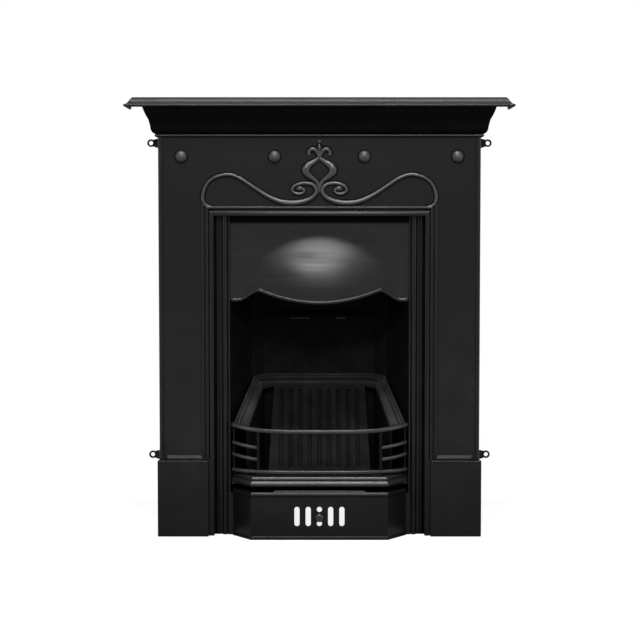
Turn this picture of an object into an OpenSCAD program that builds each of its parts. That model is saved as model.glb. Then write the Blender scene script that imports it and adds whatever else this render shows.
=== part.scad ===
// Cast iron combination fireplace with a shelf, a surround and a built-in firebox.
// Millimetres, +Z up, front towards -Y. The origin is on the floor, in the middle
// of the whole width and depth, and "out" is a distance in front of the wall.

/* [Overall] */
// Height of the shelf's top above the floor
overall_h = 1073; // [1040:1:1150]
// Width across the legs
body_w = 786; // [770:2:840]
// How far the flat panels stand in front of the wall
face_out = 56; // [50:1:80]
// How far the shelf stands in front of the wall
shelf_out = 100; // [98:1:160]
// Thickness of the castings
wall_t = 6; // [5:0.5:8]

/* [Shelf and cornice] */
// How far the shelf's ends stand out beyond the legs
shelf_side = 79; // [60:1:120]
// Height of the shelf's edge moulding
shelf_h = 24; // [14:1:30]
// Thickness of the shelf's top plate
shelf_t = 7; // [5:0.5:10]
// Width of the moulded slope round the shelf's top
shelf_slope = 18; // [12:1:30]
// Height of the shelf's rounded lip
lip_h = 7; // [4:0.2:8]
// Height of the cornice from the frieze to the shelf's plate
cornice_h = 88; // [70:1:110]
// How far the cornice's top stands out from the panels
cornice_out = 35; // [25:1:42]
// Radius of the bead at the cornice's foot
foot_bead_r = 4; // [3:0.5:6]

/* [Surround] */
// Width of the opening in the surround
opening_w = 518; // [500:2:560]
// Height of the opening in the surround
opening_h = 788; // [740:2:800]
// Width of the raised band round the opening
band_w = 17; // [10:1:20]
// How far the band stands out from the panels
band_out = 5; // [3:0.5:8]
// Radius of the bead beside the band
bead_r = 4.5; // [3:0.5:6]
// Distance from the opening to the bead's centre, at the sides
bead_in = 26.5; // [24:0.5:32]
// Distance from the opening to the bead's centre, at the top
bead_up = 20; // [20:0.5:30]
// Radius of the bead on the outer edges
edge_bead_r = 5.5; // [4:0.5:8]
// Depth of the return behind the panels at the opening
return_d = 12; // [8:1:20]
// Height of the domed studs on the frieze
stud_h = 9; // [6:0.5:12]
// Diameter of the domed studs
stud_d = 29; // [20:1:36]
// Distance of the studs below the frieze's top
stud_drop = 47; // [30:1:60]
// Distance between the two inner studs
stud_inner = 219; // [200:1:280]
// Distance between the two outer studs
stud_outer = 674; // [640:1:700]

/* [Relief] */
// Width of the raised whiplash line
line_w = 8.5; // [6:0.5:10]
// Height of the raised line
line_h = 4; // [2:0.5:5]
// Width of the tulip's bulb at its widest
bulb_w = 12; // [8:0.5:14]

/* [Plinths] */
// Height of the plinths
plinth_h = 188; // [150:1:195]
// How far the plinths stand out from the panels
plinth_out = 19; // [14:1:26]
// How far the plinths stand out sideways from the legs
plinth_wrap = 4; // [3:0.5:8]
// Gap between the opening and a plinth
plinth_in = 13; // [8:1:20]
// Height of the sloping sill above each plinth
sill_h = 10; // [6:1:14]

/* [Wall lugs] */
// How far the wall lugs' holes stand out beyond the legs
lug_side = 22; // [16:1:60]
// Height of the lower lug holes
lug_low = 194; // [160:1:240]
// Distance of the upper lug holes below the frieze's top
lug_drop = 12; // [12:1:80]
// Diameter of the lug holes
lug_hole_d = 10; // [6:0.5:11]
// Radius of the lugs' rounded ends
lug_r = 9.5; // [9:0.5:12]

/* [Insert frame and hood] */
// How far the insert frame's inner edges stand inside the opening
insert_step = 39; // [34:1:44]
// Distance of the hood's visible top below the opening's top
hood_drop = 19; // [14:1:50]
// Height of the hood's lower corners
hood_corner = 578; // [560:1:600]
// Height of the two peaks of the hood's lower edge
hood_peak = 604; // [590:1:620]
// Height of the middle of the hood's lower edge
hood_mid = 571; // [555:1:580]
// Distance of the peaks from the middle
peak_x = 148; // [120:1:160]
// How far the hood's dome swells forward
dome_out = 30; // [10:1:40]
// Thickness of the hood
hood_t = 5; // [4:0.5:7]

/* [Firebox] */
// How far the fire back stands behind the wall
back_in = 146; // [120:1:180]
// Width of the fire back's flat panel
back_w = 282; // [250:2:300]
// Width of each slanted corner of the fire back
corner_w = 28; // [20:1:34]
// Height of the fire back's top edge
back_top = 525.5; // [500:0.5:530]
// Height of the air slot above the fire back
slot_h = 2.5; // [1:0.5:10]
// Height of the fire back's foot above the floor
back_foot = 55; // [40:1:120]
// Height of the base plate's underside
base_z = 128; // [118:1:135]

/* [Damper] */
// Width of the throat's outlet
outlet_w = 224; // [180:2:240]
// Length of the throat's outlet up the slope
outlet_l = 210; // [150:2:230]
// Radius of the damper's hinge pin
pin_r = 4; // [3:0.5:5]

/* [Fire basket] */
// Height of the hopper's rim at the back
rim_back_z = 374; // [360:1:390]
// Height of the hopper's rim at the front
rim_front_z = 274; // [266:1:290]
// Width of the hopper's side rails
rail_w = 32; // [26:1:36]
// Height of the fluted plate's top
flute_top = 350; // [320:1:350]
// Number of flutes
flute_n = 9; // [5:1:9]
// Distance between flutes
flute_pitch = 24.2; // [20:0.1:26]
// Width of a flute
flute_w = 10; // [6:0.5:14]
// Width of the fluted plate at its top
flute_top_w = 232; // [220:2:250]
// Width of the fluted plate at its foot
flute_foot_w = 256; // [240:2:260]
// Thickness of the bottom grate
grate_t = 10; // [8:1:14]
// Number of slots in the bottom grate
grate_n = 9; // [5:2:11]

/* [Front bars] */
// Gap between the ends of the front bars' middle line and the insert frame
bars_play = 7; // [6:0.5:20]
// How far the middle of the bars stands in front of the wall
bars_mid_out = 101; // [96:1:106]
// How far the ends of the bars stand in front of the wall
bars_end_out = 49; // [48:1:54]
// Height of each bar's section
bar_h = 10; // [7:0.5:12]
// Depth of each bar's section
bar_d = 12; // [8:0.5:14]
// Height of the top bar in the middle
bars_top = 267.5; // [250:0.5:268]
// How much the upper bars rise towards their ends
bars_rise = 12; // [0:1:14]
// Distance of the inner posts from the middle
post_x = 149.5; // [120:0.5:160]
// Width of the posts
post_w = 8.5; // [6:0.5:10]

/* [Base rail] */
// How far the base rail stands in front of the wall
rail_out = 117; // [112:1:124]
// Height of the base rail's moulding
rail_h = 27.5; // [22:0.5:27.5]
// Half the width of the base rail's flat front
rail_half = 164; // [140:1:180]

/* [Ash cover] */
// Height of the ash cover
cover_h = 116; // [100:1:118]
// How far the ash cover stands in front of the wall
cover_out = 115; // [100:1:116]
// Depth of the ash cover's top flange
flange_d = 20; // [10:1:30]
// Number of air slots in the ash cover
slot_n = 5; // [3:2:7]
// Distance between the air slots
slot_pitch = 27.3; // [22:0.1:30]
// Width of the air slots
slot_w = 13.5; // [8:0.5:16]
// Height of the air slots' lower ends
slot_low = 33; // [25:1:36]
// Height of the air slots' upper ends
slot_high = 81; // [78:1:90]
// Height of the knob above the floor
knob_z = 57; // [50:1:62]
// Diameter of the knob
knob_d = 21; // [16:1:24]
// Length of the knob
knob_l = 22; // [16:1:30]

/* [Fits] */
// Radial play of a tapped hole round its bolt
tap_play = 0.03; // [0.01:0.01:0.1]
// Radial play of a plain hole round its bolt
hole_play = 0.4; // [0.2:0.1:1]
// Radial play of the damper on its pin
pin_play = 0.06; // [0.02:0.01:0.1]
// Gap between a loose piece and its seat
seat_gap = 0.3; // [0.2:0.1:0.5]

/* [Hidden] */
$fn = 48;

iron = [0.13, 0.13, 0.135];
iron_light = [0.2, 0.2, 0.205];
iron_dark = [0.08, 0.08, 0.085];
steel = [0.3, 0.3, 0.31];
eps = 0.01;
big = 2000;

// Heights and half widths that several castings share
body_half = body_w / 2;
opening_half = opening_w / 2;
shelf_w = body_w + 2 * shelf_side;
insert_half = opening_half - insert_step;
insert_w = 2 * insert_half;
hood_top = opening_h - hood_drop;
bars_half = insert_half - bars_play;
plate_under = overall_h - shelf_t;
frieze_top = plate_under - cornice_h;
stud_z = frieze_top - stud_drop;
lug_high = frieze_top - lug_drop;
lug_x = body_w + 2 * lug_side;
return_out = face_out - wall_t - return_d;
insert_back = return_out - wall_t;
insert_top = opening_h + 70;
insert_flange = opening_half + 33;
back_half = back_w / 2;
corner_x = back_half + corner_w;
corner_in = back_in - corner_w;
base_top = base_z + wall_t;
bolt_flange = 30;
back_bolt_x = corner_x + 0.68 * bolt_flange;

// Bolts: shank radius, head radius over corners, head height
m8_r = 4;
m8_head_r = 7.5;
m8_head_h = 5.5;
m8_nut_h = 6.5;
m6_r = 3;
m6_head_r = 5.8;
m6_head_h = 4;
boss_r = 9;
thread_gap = 1;

// The sloping throat: its foot, its angle and the place of the hinge pin on it
throat_foot_z = back_top + slot_h;
throat_foot_in = back_in + 4;
throat_front_z = opening_h + 32;
throat_run = throat_foot_in + insert_back;
throat_angle = atan2(throat_front_z - throat_foot_z, throat_run);
throat_len = throat_run / cos(throat_angle);
pin_s = 6;
knuckle_r = pin_r + 3.5;
pin_lift = wall_t + seat_gap + knuckle_r + 0.7;
pin_in = throat_foot_in - pin_s * cos(throat_angle) + pin_lift * sin(throat_angle);

// The origin's depth: the middle between the knob's tip and the damper's hinge
front_reach = cover_out + knob_l;
back_reach = pin_in + knuckle_r;
wall_y = (front_reach - back_reach) / 2;

// Depth of a point that stands d in front of the wall, or behind it where d is below zero
function out(d) = wall_y - d;
function smooth(t) = t * t * (3 - 2 * t);
function reversed(list) = [for (i = [len(list) - 1:-1:0]) list[i]];
function unit(v) = v / norm(v);
function right_of(v) = [v[1], -v[0]];
function direction(path, i) = unit(path[i + 1] - path[i]);
// Point i of a path, moved d to the right of the way that the path runs, with a mitre
function beside(path, i, d) =
    let (last = len(path) - 1,
         before = right_of(direction(path, max(i - 1, 0))),
         after = right_of(direction(path, min(i, last - 1))),
         middle = unit(before + after))
    path[i] + middle * d / (middle * after);
function strip(path, d0, d1) =
    concat([for (i = [0:len(path) - 1]) beside(path, i, d0)],
           reversed([for (i = [0:len(path) - 1]) beside(path, i, d1)]));
function mirrored(path) = concat(path, reversed([for (p = path) [-p[0], p[1]]]));

module both_sides() {
    children();
    mirror([1, 0, 0]) children();
}

// A plate standing in the X-Z plane, from "out" d0 to d1 in front of the wall
module upright(d0, d1) {
    translate([0, out(min(d0, d1)), 0]) rotate([90, 0, 0]) linear_extrude(abs(d1 - d0)) children();
}

// A profile in the Y-Z plane, carried across the whole width
module across() {
    translate([-big / 2, 0, 0]) rotate([90, 0, 90]) linear_extrude(big) children();
}

// A block whose front and two sides have the same moulded edge, with mitred corners.
// The edge is a list of [distance outwards, height] from its foot upwards.
module moulded(half, front, edge, back) {
    top = edge[len(edge) - 1][1];
    intersection() {
        across() polygon(concat([for (p = edge) [out(front + p[0]), p[1]]],
                                [[out(back), top], [out(back), edge[0][1]]]));
        upright(-big, big) polygon(mirrored([for (p = edge) [-half - p[0], p[1]]]));
    }
}

// A layer that follows a plan path, from d0 to d1 outwards of it
module layer(path, d0, d1, z, height) {
    translate([0, 0, z]) linear_extrude(height) polygon(strip(path, d0, d1));
}

// A bolt along +Z whose head sits below the origin
module hex_bolt(r, length, head_r, head_h) {
    cylinder(r = r, h = length);
    translate([0, 0, -head_h]) cylinder(r = head_r, h = head_h, $fn = 6);
}

module m8_bolt(length) {
    hex_bolt(m8_r, length, m8_head_r, m8_head_h);
}

module m6_bolt(length) {
    hex_bolt(m6_r, length, m6_head_r, m6_head_h);
}

module hex_nut(r, head_r, height) {
    difference() {
        cylinder(r = head_r, h = height, $fn = 6);
        translate([0, 0, -1]) cylinder(r = r + tap_play, h = height + 2);
    }
}

// Places children at a point on the back of a casting, turned to point forwards
module from_behind(x, d, z) {
    translate([x, out(d), z]) rotate([90, 0, 0]) children();
}

// ---------------------------------------------------------------- shelf and cornice

lip_r = lip_h / 2;
lip_inner = 8;
rim_slant = 12;
top_bevel = 11;
shelf_low = overall_h - shelf_h;
slope_steps = 10;
// The shelf's edge: a round lip, then a slope that is hollow below and round above
shelf_edge = concat(
    [for (a = [-90:30:60]) [-lip_r + lip_r * cos(a), shelf_low + lip_r + lip_r * sin(a)]],
    [for (i = [0:slope_steps])
        let (t = i / slope_steps)
        [-lip_r - shelf_slope * t, shelf_low + lip_h + (shelf_h - lip_h) * smooth(t)]]);
shelf_hollow = [[-lip_inner, shelf_low - 1], [-lip_inner, plate_under - top_bevel],
                [-lip_inner - rim_slant, plate_under]];

module mantel_shelf() {
    color(iron_light)
    difference() {
        moulded(shelf_w / 2, shelf_out, shelf_edge, 0);
        moulded(shelf_w / 2, shelf_out, shelf_hollow, -1);
        shelf_bolt_places() cylinder(r = m6_r + tap_play, h = shelf_t - 2 + wall_t);
    }
}

lip_d = 30;
foot_lip = 30;
belly_u = 11;
belly_z = 17.5;
neck_u = 21;
neck_z = 41;
swell_z = 33;
swell_steps = 6;
belly_u0 = foot_bead_r + 2;
curve_step = 15;
// The cornice's outline: bead, round belly, sloping neck, swelling crown and square fillet
cornice_outline = concat(
    [for (a = [-90:30:60]) [foot_bead_r * cos(a) + 3, foot_bead_r * (1 + sin(a))]],
    [for (a = [0:curve_step:90]) [belly_u0 + belly_u * sin(a), 2 * foot_bead_r + belly_z * (1 - cos(a))]],
    [for (i = [0:swell_steps])
        let (t = i / swell_steps)
        [neck_u + (cornice_out - neck_u) * (t + sin(90 * t)) / 2, neck_z + swell_z * t]],
    [[cornice_out, cornice_h - top_bevel],
     [cornice_out - rim_slant, cornice_h]]);
cornice_edge = [for (p = cornice_outline) [p[0], frieze_top + p[1]]];
cornice_hollow = concat(
    [[-foot_lip, frieze_top - 1], [-foot_lip, frieze_top + wall_t], [-wall_t, frieze_top + wall_t]],
    [for (p = cornice_outline)
        if (p[1] > wall_t + 2 && p[1] < cornice_h - top_bevel - wall_t) [p[0] - wall_t, frieze_top + p[1]]],
    [[cornice_out - wall_t, plate_under - top_bevel - wall_t],
     [cornice_out - rim_slant - wall_t, plate_under - wall_t],
     [cornice_out - wall_t - lip_d, plate_under - wall_t],
     [cornice_out - wall_t - lip_d, plate_under + 1]]);

module cornice() {
    color(iron_dark)
    difference() {
        moulded(body_half, face_out, cornice_edge, 0);
        moulded(body_half, face_out, cornice_hollow, -1);
        shelf_bolt_places() translate([0, 0, -1]) cylinder(r = m6_r + hole_play, h = wall_t + 2);
        cornice_bolt_places() translate([0, 0, -wall_t - 1]) cylinder(r = m6_r + hole_play, h = wall_t + 2);
    }
}

// Four bolts rise through the cornice's top lip into the shelf's plate
shelf_bolt_u = cornice_out - lip_d + 1;
module shelf_bolt_places() {
    both_sides() {
        translate([0.76 * body_half, out(face_out + shelf_bolt_u), plate_under - wall_t]) children();
        translate([body_half + shelf_bolt_u, out(face_out / 3), plate_under - wall_t]) children();
    }
}

module shelf_bolts() {
    color(steel) shelf_bolt_places() m6_bolt(wall_t + shelf_t - 2 - thread_gap);
}

// Four bolts drop through the cornice's foot into the surround's top flange
module cornice_bolt_places() {
    for (x = [-0.72, -0.24, 0.24, 0.72])
        translate([x * body_half, out(face_out - (foot_lip + wall_t) / 2), frieze_top + wall_t]) children();
}

module cornice_bolts() {
    color(steel) cornice_bolt_places() rotate([180, 0, 0]) m6_bolt(3 * wall_t);
}

module cornice_nuts() {
    color(steel) cornice_bolt_places()
        translate([0, 0, -2 * wall_t - 5]) hex_nut(m6_r, m6_head_r, 5);
}

// ---------------------------------------------------------------- surround

leg_in = opening_half + plinth_in;
insert_bolt_side = 18;
insert_bolt_low = 90;
insert_bolt_middle = 420;
insert_bolt_drop = 48;
insert_bolt_x = opening_half + insert_bolt_side;
insert_bolt_zs = [insert_bolt_low, insert_bolt_middle, opening_h - insert_bolt_drop];
lug_zs = [lug_low, lug_high];
pillar_in = 27;
pillar_x = body_half - pillar_in;
plinth_bolt_zs = [0.25 * plinth_h, 0.75 * plinth_h];
plinth_bolt_x = (leg_in + body_half) / 2;
bead_x = opening_half + bead_in;
bead_z = opening_h + bead_up;
line_start_z = bead_z + 12;

module surround_sheet() {
    difference() {
        translate([-body_half, 0]) square([body_w, frieze_top]);
        translate([-opening_half, -1]) square([opening_w, opening_h + 1]);
    }
}

module surround() {
    color(iron)
    difference() {
        union() {
            upright(face_out - wall_t, face_out) surround_sheet();
            surround_returns();
            surround_mouldings();
            surround_bosses();
            relief();
            studs();
        }
        both_sides() {
            for (z = insert_bolt_zs)
                from_behind(insert_bolt_x, return_out - eps, z)
                    cylinder(r = m8_r + tap_play, h = return_d + wall_t - 2);
            for (z = plinth_bolt_zs)
                from_behind(plinth_bolt_x, face_out - wall_t - 1, z)
                    cylinder(r = m8_r + hole_play, h = wall_t + 2);
            for (z = lug_zs) {
                from_behind(pillar_x, wall_t - eps, z) cylinder(r = m6_r + tap_play, h = 22);
                translate([body_half - 2 * wall_t, out(wall_t + seat_gap), z - lug_r - seat_gap])
                    cube([3 * wall_t, 2 * wall_t, 2 * (lug_r + seat_gap)]);
            }
        }
        cornice_bolt_places() translate([0, 0, -2 * wall_t - 1]) cylinder(r = m6_r + hole_play, h = wall_t + 2);
    }
}

// Flanges that turn back from the plate: outer sides, top, and round the opening
module surround_returns() {
    both_sides() {
        translate([body_half - wall_t, out(face_out), 0]) cube([wall_t, face_out, frieze_top]);
        translate([opening_half, out(face_out), 0])
            cube([wall_t, face_out - return_out, opening_h + wall_t]);
    }
    translate([-body_half + wall_t, out(face_out), frieze_top - wall_t])
        cube([body_w - 2 * wall_t, foot_lip, wall_t]);
    translate([-opening_half, out(face_out), opening_h]) cube([opening_w, face_out - return_out, wall_t]);
}

// Band and beads round the opening, beads on the outer edges and the sloping sills
module surround_mouldings() {
    upright(face_out, face_out + band_out)
        difference() {
            translate([-opening_half - band_w, plinth_h])
                square([opening_w + 2 * band_w, opening_h + band_w - plinth_h]);
            translate([-opening_half, -1]) square([opening_w, opening_h + 1]);
        }
    both_sides() {
        translate([opening_half, out(face_out + band_out), 0])
            cube([plinth_in - seat_gap, band_out + 1, plinth_h]);
        translate([bead_x, out(face_out), plinth_h]) cylinder(r = bead_r, h = line_start_z - plinth_h);
        translate([body_half - edge_bead_r, out(face_out), plinth_h])
            cylinder(r = edge_bead_r, h = frieze_top - plinth_h);
        translate([bead_x, 0, 0]) rotate([90, 0, 90])
            linear_extrude(body_half - bead_x - edge_bead_r)
                polygon([[out(face_out), plinth_h], [out(face_out + band_out), plinth_h],
                         [out(face_out + band_out), plinth_h + 3], [out(face_out), plinth_h + sill_h + 3]]);
    }
    translate([-opening_half, out(face_out), bead_z]) rotate([0, 90, 0]) cylinder(r = bead_r, h = opening_w);
}

// Bosses for the insert's bolts and pillars for the wall lugs' screws
module surround_bosses() {
    both_sides() {
        for (z = insert_bolt_zs)
            from_behind(insert_bolt_x, return_out, z) cylinder(r = boss_r, h = return_d + 1);
        for (z = lug_zs)
            from_behind(pillar_x, wall_t, z) cylinder(r = boss_r, h = face_out - 2 * wall_t + 1);
    }
}

module studs() {
    dome_r = (stud_d * stud_d / 4 + stud_h * stud_h) / (2 * stud_h);
    for (x = [-stud_outer / 2, -stud_inner / 2, stud_inner / 2, stud_outer / 2])
        intersection() {
            translate([x, out(face_out + stud_h - dome_r), stud_z]) sphere(r = dome_r);
            translate([x, out(face_out + stud_h + 1), stud_z]) rotate([-90, 0, 0])
                cylinder(r = stud_d / 2 + 1, h = stud_h + 2);
        }
}

// The whiplash line, chosen by hand on the left half: x outwards from the middle, height
whip_points = [[264, 808], [276, 812], [284, 822], [284, 838], [280, 854], [270, 869], [256, 879],
               [236, 886], [218, 887], [195, 879], [171, 863], [147, 847], [122, 833], [98, 823],
               [74, 819], [49, 820], [29, 825], [14, 833], [7, 845], [9, 855], [17, 863], [30, 867],
               [44, 866], [57, 862], [66, 856], [67, 849], [61, 842], [50, 839], [42, 841], [37, 847]];
whip_eye = [46, 853];
whip_eye_r = 5;
bulb_points = [[3, 928], [10, 921], [20, 914], [29, 907], [33, 899], [31, 892], [24, 885], [15, 878],
               [8, 871], [5, 862], [2, 847]];
curl_points = [[2, 933], [6, 942], [11, 947], [17, 948], [23, 945], [25, 940], [24, 936], [20, 933]];
// Drops above the tulip, as height and radius, and the stem that joins them
drops = [[938, 3], [951, 3.2], [966, 3.8]];
stem_foot = 932;
stem_l = 32;
stem_w = 3;
curve_parts = 3;
function spline(a, b, c, d, t) =
    0.5 * (2 * b + (c - a) * t + (2 * a - 5 * b + 4 * c - d) * t * t
           + (3 * b - a - 3 * c + d) * t * t * t);
function curve(points, k) =
    let (last = len(points) - 1)
    concat([for (i = [0:last - 1], j = [0:k - 1])
        spline(points[max(i - 1, 0)], points[i], points[i + 1], points[min(i + 2, last)], j / k)],
        [points[last]]);

// The points were chosen for a frieze of this height above the bead, and this half opening
relief_foot = 808;
relief_h = 170;
relief_half = 259;
relief_k = (frieze_top - bead_z) / relief_h;
function on_frieze(p) = [p[0] * opening_half / relief_half, bead_z + (p[1] - relief_foot) * relief_k];

// A raised line along a curve
module raised_line(points, width, height) {
    path = curve([for (p = points) on_frieze(p)], curve_parts);
    upright(face_out - 1, face_out + height) polygon(strip(path, -width / 2, width / 2));
}

module relief() {
    both_sides() {
        raised_line(whip_points, line_w, line_h);
        raised_line(bulb_points, bulb_w * 0.75, line_h * 0.9);
        raised_line(curl_points, line_w * 0.55, line_h * 0.7);
        from_behind(on_frieze(whip_eye)[0], face_out - 1, on_frieze(whip_eye)[1])
            cylinder(r = whip_eye_r, h = line_h * 0.6 + 1);
    }
    for (drop = drops)
        from_behind(0, face_out - 1, on_frieze([0, drop[0]])[1]) cylinder(r = drop[1], h = line_h * 0.8 + 1);
    translate([-stem_w / 2, out(face_out + line_h / 2), on_frieze([0, stem_foot])[1]])
        cube([stem_w, line_h / 2 + 1, stem_l * relief_k]);
}

// ---------------------------------------------------------------- plinths

plinth_front = face_out + plinth_out;
plinth_x1 = body_half + plinth_wrap;
module plinth() {
    difference() {
        union() {
            translate([leg_in, out(plinth_front), 0])
                cube([plinth_x1 - leg_in, wall_t, plinth_h]);
            translate([leg_in, out(plinth_front), 0]) cube([wall_t, plinth_out, plinth_h]);
            translate([leg_in, out(plinth_front), plinth_h - wall_t])
                cube([plinth_x1 - leg_in, plinth_out, wall_t]);
            translate([body_half, out(plinth_front), 0])
                cube([plinth_wrap, plinth_front - wall_t - 2, plinth_h]);
            for (z = plinth_bolt_zs)
                from_behind(plinth_bolt_x, face_out, z) cylinder(r = boss_r, h = plinth_out - wall_t + 1);
        }
        for (z = plinth_bolt_zs)
            from_behind(plinth_bolt_x, face_out - eps, z)
                cylinder(r = m8_r + tap_play, h = plinth_out - wall_t + 3);
    }
}

module left_plinth() {
    color(iron) mirror([1, 0, 0]) plinth();
}

module right_plinth() {
    color(iron) plinth();
}

module plinth_bolts() {
    color(steel) both_sides()
        for (z = plinth_bolt_zs)
            from_behind(plinth_bolt_x, face_out - wall_t, z) m8_bolt(plinth_out + 2);
}

// ---------------------------------------------------------------- wall lugs

sink_r = 5.6;
lug_web_h = 23;
module wall_lugs() {
    color(iron) both_sides()
        for (z = lug_zs)
            difference() {
                union() {
                    from_behind(lug_x / 2, 0, z) cylinder(r = lug_r, h = wall_t);
                    translate([pillar_x - boss_r, out(wall_t), z - lug_r * 0.8])
                        cube([lug_x / 2 - pillar_x + boss_r, wall_t, lug_r * 1.6]);
                    upright(0, wall_t)
                        polygon([[body_half + seat_gap, z - lug_web_h / 2], [lug_x / 2, z - lug_r],
                                 [lug_x / 2, z + lug_r], [body_half + seat_gap, z + lug_web_h / 2]]);
                }
                from_behind(lug_x / 2, -1, z) cylinder(r = lug_hole_d / 2, h = wall_t + 2);
                from_behind(pillar_x, -1, z) cylinder(r = m6_r + hole_play, h = wall_t + 2);
                from_behind(pillar_x, -eps, z)
                    cylinder(r1 = sink_r + hole_play, r2 = m6_r + hole_play, h = sink_r - m6_r);
            }
}

module lug_screws() {
    color(steel) both_sides()
        for (z = lug_zs) {
            from_behind(pillar_x, 0.5, z) cylinder(r1 = sink_r - 0.5, r2 = m6_r, h = sink_r - m6_r - 0.5);
            from_behind(pillar_x, 1, z) cylinder(r = m6_r, h = wall_t + 18);
        }
}

// ---------------------------------------------------------------- insert frame and hood

strip_x = insert_half + 12.3;
strip_r = 6.3;
ridge_x = opening_half - 8.5;
ridge_r = 3.5;
side_clip_z = hood_corner - 9;
top_clip_x = 120;
hood_lap = 9;
clip_t = 4;
clip_w = 9;
hood_back = insert_back - hood_t;
insert_bolt_len = wall_t + return_d + wall_t - 2 - thread_gap;
cheek_bolt_x = opening_half - 3;
cheek_bolt_zs = [70, 330, 640];
throat_bolt_xs = [-150, 0, 150];
throat_bolt_z = opening_h + 52;
base_ear_x = insert_half + 3;
base_ear_z = base_z + 12;

module insert_frame() {
    color(iron)
    difference() {
        union() {
            upright(insert_back, return_out)
                difference() {
                    translate([-insert_flange, 0]) square([2 * insert_flange, insert_top]);
                    translate([-insert_half, -1]) square([insert_w, hood_top + 2]);
                }
            both_sides() {
                translate([strip_x, out(return_out + 3), 0]) cylinder(r = strip_r, h = opening_h - 1);
                translate([strip_x - strip_r, out(return_out + 3), 0])
                    cube([2 * strip_r, 4, opening_h - 1]);
                translate([ridge_x, out(return_out), 0]) cylinder(r = ridge_r, h = opening_h - 1);
                translate([insert_half, out(insert_back), side_clip_z - clip_w])
                    cube([clip_w, hood_t, 2 * clip_w - 1]);
                translate([top_clip_x - clip_w, out(insert_back), hood_top + hood_lap + 1])
                    cube([2 * clip_w, hood_t, 2 * clip_w]);
            }
        }
        both_sides() {
            for (z = insert_bolt_zs)
                from_behind(insert_bolt_x, insert_back - 1, z) cylinder(r = m8_r + hole_play, h = wall_t + 2);
            for (z = cheek_bolt_zs)
                from_behind(cheek_bolt_x, insert_back - eps, z) cylinder(r = m8_r + tap_play, h = wall_t - 1);
            from_behind(insert_half + clip_w / 2, hood_back - eps, side_clip_z)
                cylinder(r = m6_r + tap_play, h = hood_t + wall_t - 1);
            from_behind(top_clip_x, hood_back - eps, hood_top + hood_lap + clip_w)
                cylinder(r = m6_r + tap_play, h = hood_t + wall_t - 1);
            from_behind(base_ear_x, insert_back - eps, base_ear_z)
                cylinder(r = m6_r + tap_play, h = wall_t - 1);
        }
        for (x = throat_bolt_xs)
            from_behind(x, insert_back - eps, throat_bolt_z) cylinder(r = m8_r + tap_play, h = wall_t - 1);
    }
}

module insert_bolts() {
    color(steel) both_sides()
        for (z = insert_bolt_zs) from_behind(insert_bolt_x, insert_back, z) m8_bolt(insert_bolt_len);
}

// Lower edge of the hood: a shallow sag between two peaks, level at the corners
corner_x0 = insert_half - 20;
function hood_low(x) =
    abs(x) < peak_x ? hood_mid + (hood_peak - hood_mid) * pow(abs(x) / peak_x, 2)
    : abs(x) > corner_x0 ? hood_corner
    : hood_peak - (hood_peak - hood_corner) * smooth((abs(x) - peak_x) / (corner_x0 - peak_x));

// The dome's swelling, as a share of its depth
dome_half = 196;
dome_high = hood_top - 12;
dome_crest = 628;
dome_lip_share = 0.2;
function dome(x, z) =
    let (side = abs(x) < dome_half ? pow(cos(90 * x / dome_half), 2) : 0,
         above = smooth(min(max((dome_high - z) / (dome_high - dome_crest), 0), 1)),
         below = z < dome_crest ? pow((dome_crest - z) / (dome_crest - hood_mid), 2) : 0)
    side * above * (1 - dome_lip_share * below);

// The rolled bead along the lower edge, by distance from that edge
roll_w = 9;
roll_h = 4;
function roll(d) = d < roll_w ? roll_h * sqrt(max(0, 1 - pow(2 * d / roll_w - 1, 2))) : 0;

hood_half = insert_half + hood_lap;
hood_cols = 44;
roll_steps = [0, 0.12, 0.5, 0.88, 1];
hood_rows = 12;
hood_high = hood_top + hood_lap;
function hood_x(i) =
    i == 0 ? -hood_half : i == hood_cols ? hood_half
    : insert_half * (2 * (i - 1) / (hood_cols - 2) - 1);
function hood_rise(x, j) =
    j < len(roll_steps) ? roll_w * roll_steps[j]
    : roll_w + (hood_high - hood_low(x) - roll_w) * (j - len(roll_steps) + 1) / hood_rows;

module hood() {
    rows = len(roll_steps) + hood_rows;
    cols = hood_cols + 1;
    front = [for (i = [0:hood_cols], j = [0:rows - 1])
        let (x = hood_x(i), d = hood_rise(x, j), z = hood_low(x) + d,
             inside = abs(x) < insert_half - 1 ? 1 : 0)
        [x, out(insert_back + dome_out * dome(x, z) + inside * roll(d)), z]];
    back = [for (i = [0:hood_cols], j = [0:rows - 1])
        let (x = hood_x(i), z = hood_low(x) + hood_rise(x, j))
        [x, out(hood_back + dome_out * dome(x, z)), z]];
    n = cols * rows;
    ring = concat([for (i = [0:hood_cols]) i * rows],
                  [for (j = [1:rows - 1]) hood_cols * rows + j],
                  [for (i = [hood_cols - 1:-1:0]) i * rows + rows - 1],
                  [for (j = [rows - 2:-1:1]) j]);
    cells = [for (i = [0:hood_cols - 1], j = [0:rows - 2]) i * rows + j];
    faces = concat(
        [for (c = cells) [c, c + 1, c + rows]],
        [for (c = cells) [c + 1, c + rows + 1, c + rows]],
        [for (c = cells) [n + c, n + c + rows, n + c + 1]],
        [for (c = cells) [n + c + 1, n + c + rows, n + c + rows + 1]],
        [for (k = [0:len(ring) - 1]) let (m = (k + 1) % len(ring)) [ring[k], ring[m], n + ring[k]]],
        [for (k = [0:len(ring) - 1]) let (m = (k + 1) % len(ring)) [ring[m], n + ring[m], n + ring[k]]]);
    color(iron_light) polyhedron(concat(front, back), faces);
}

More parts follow.
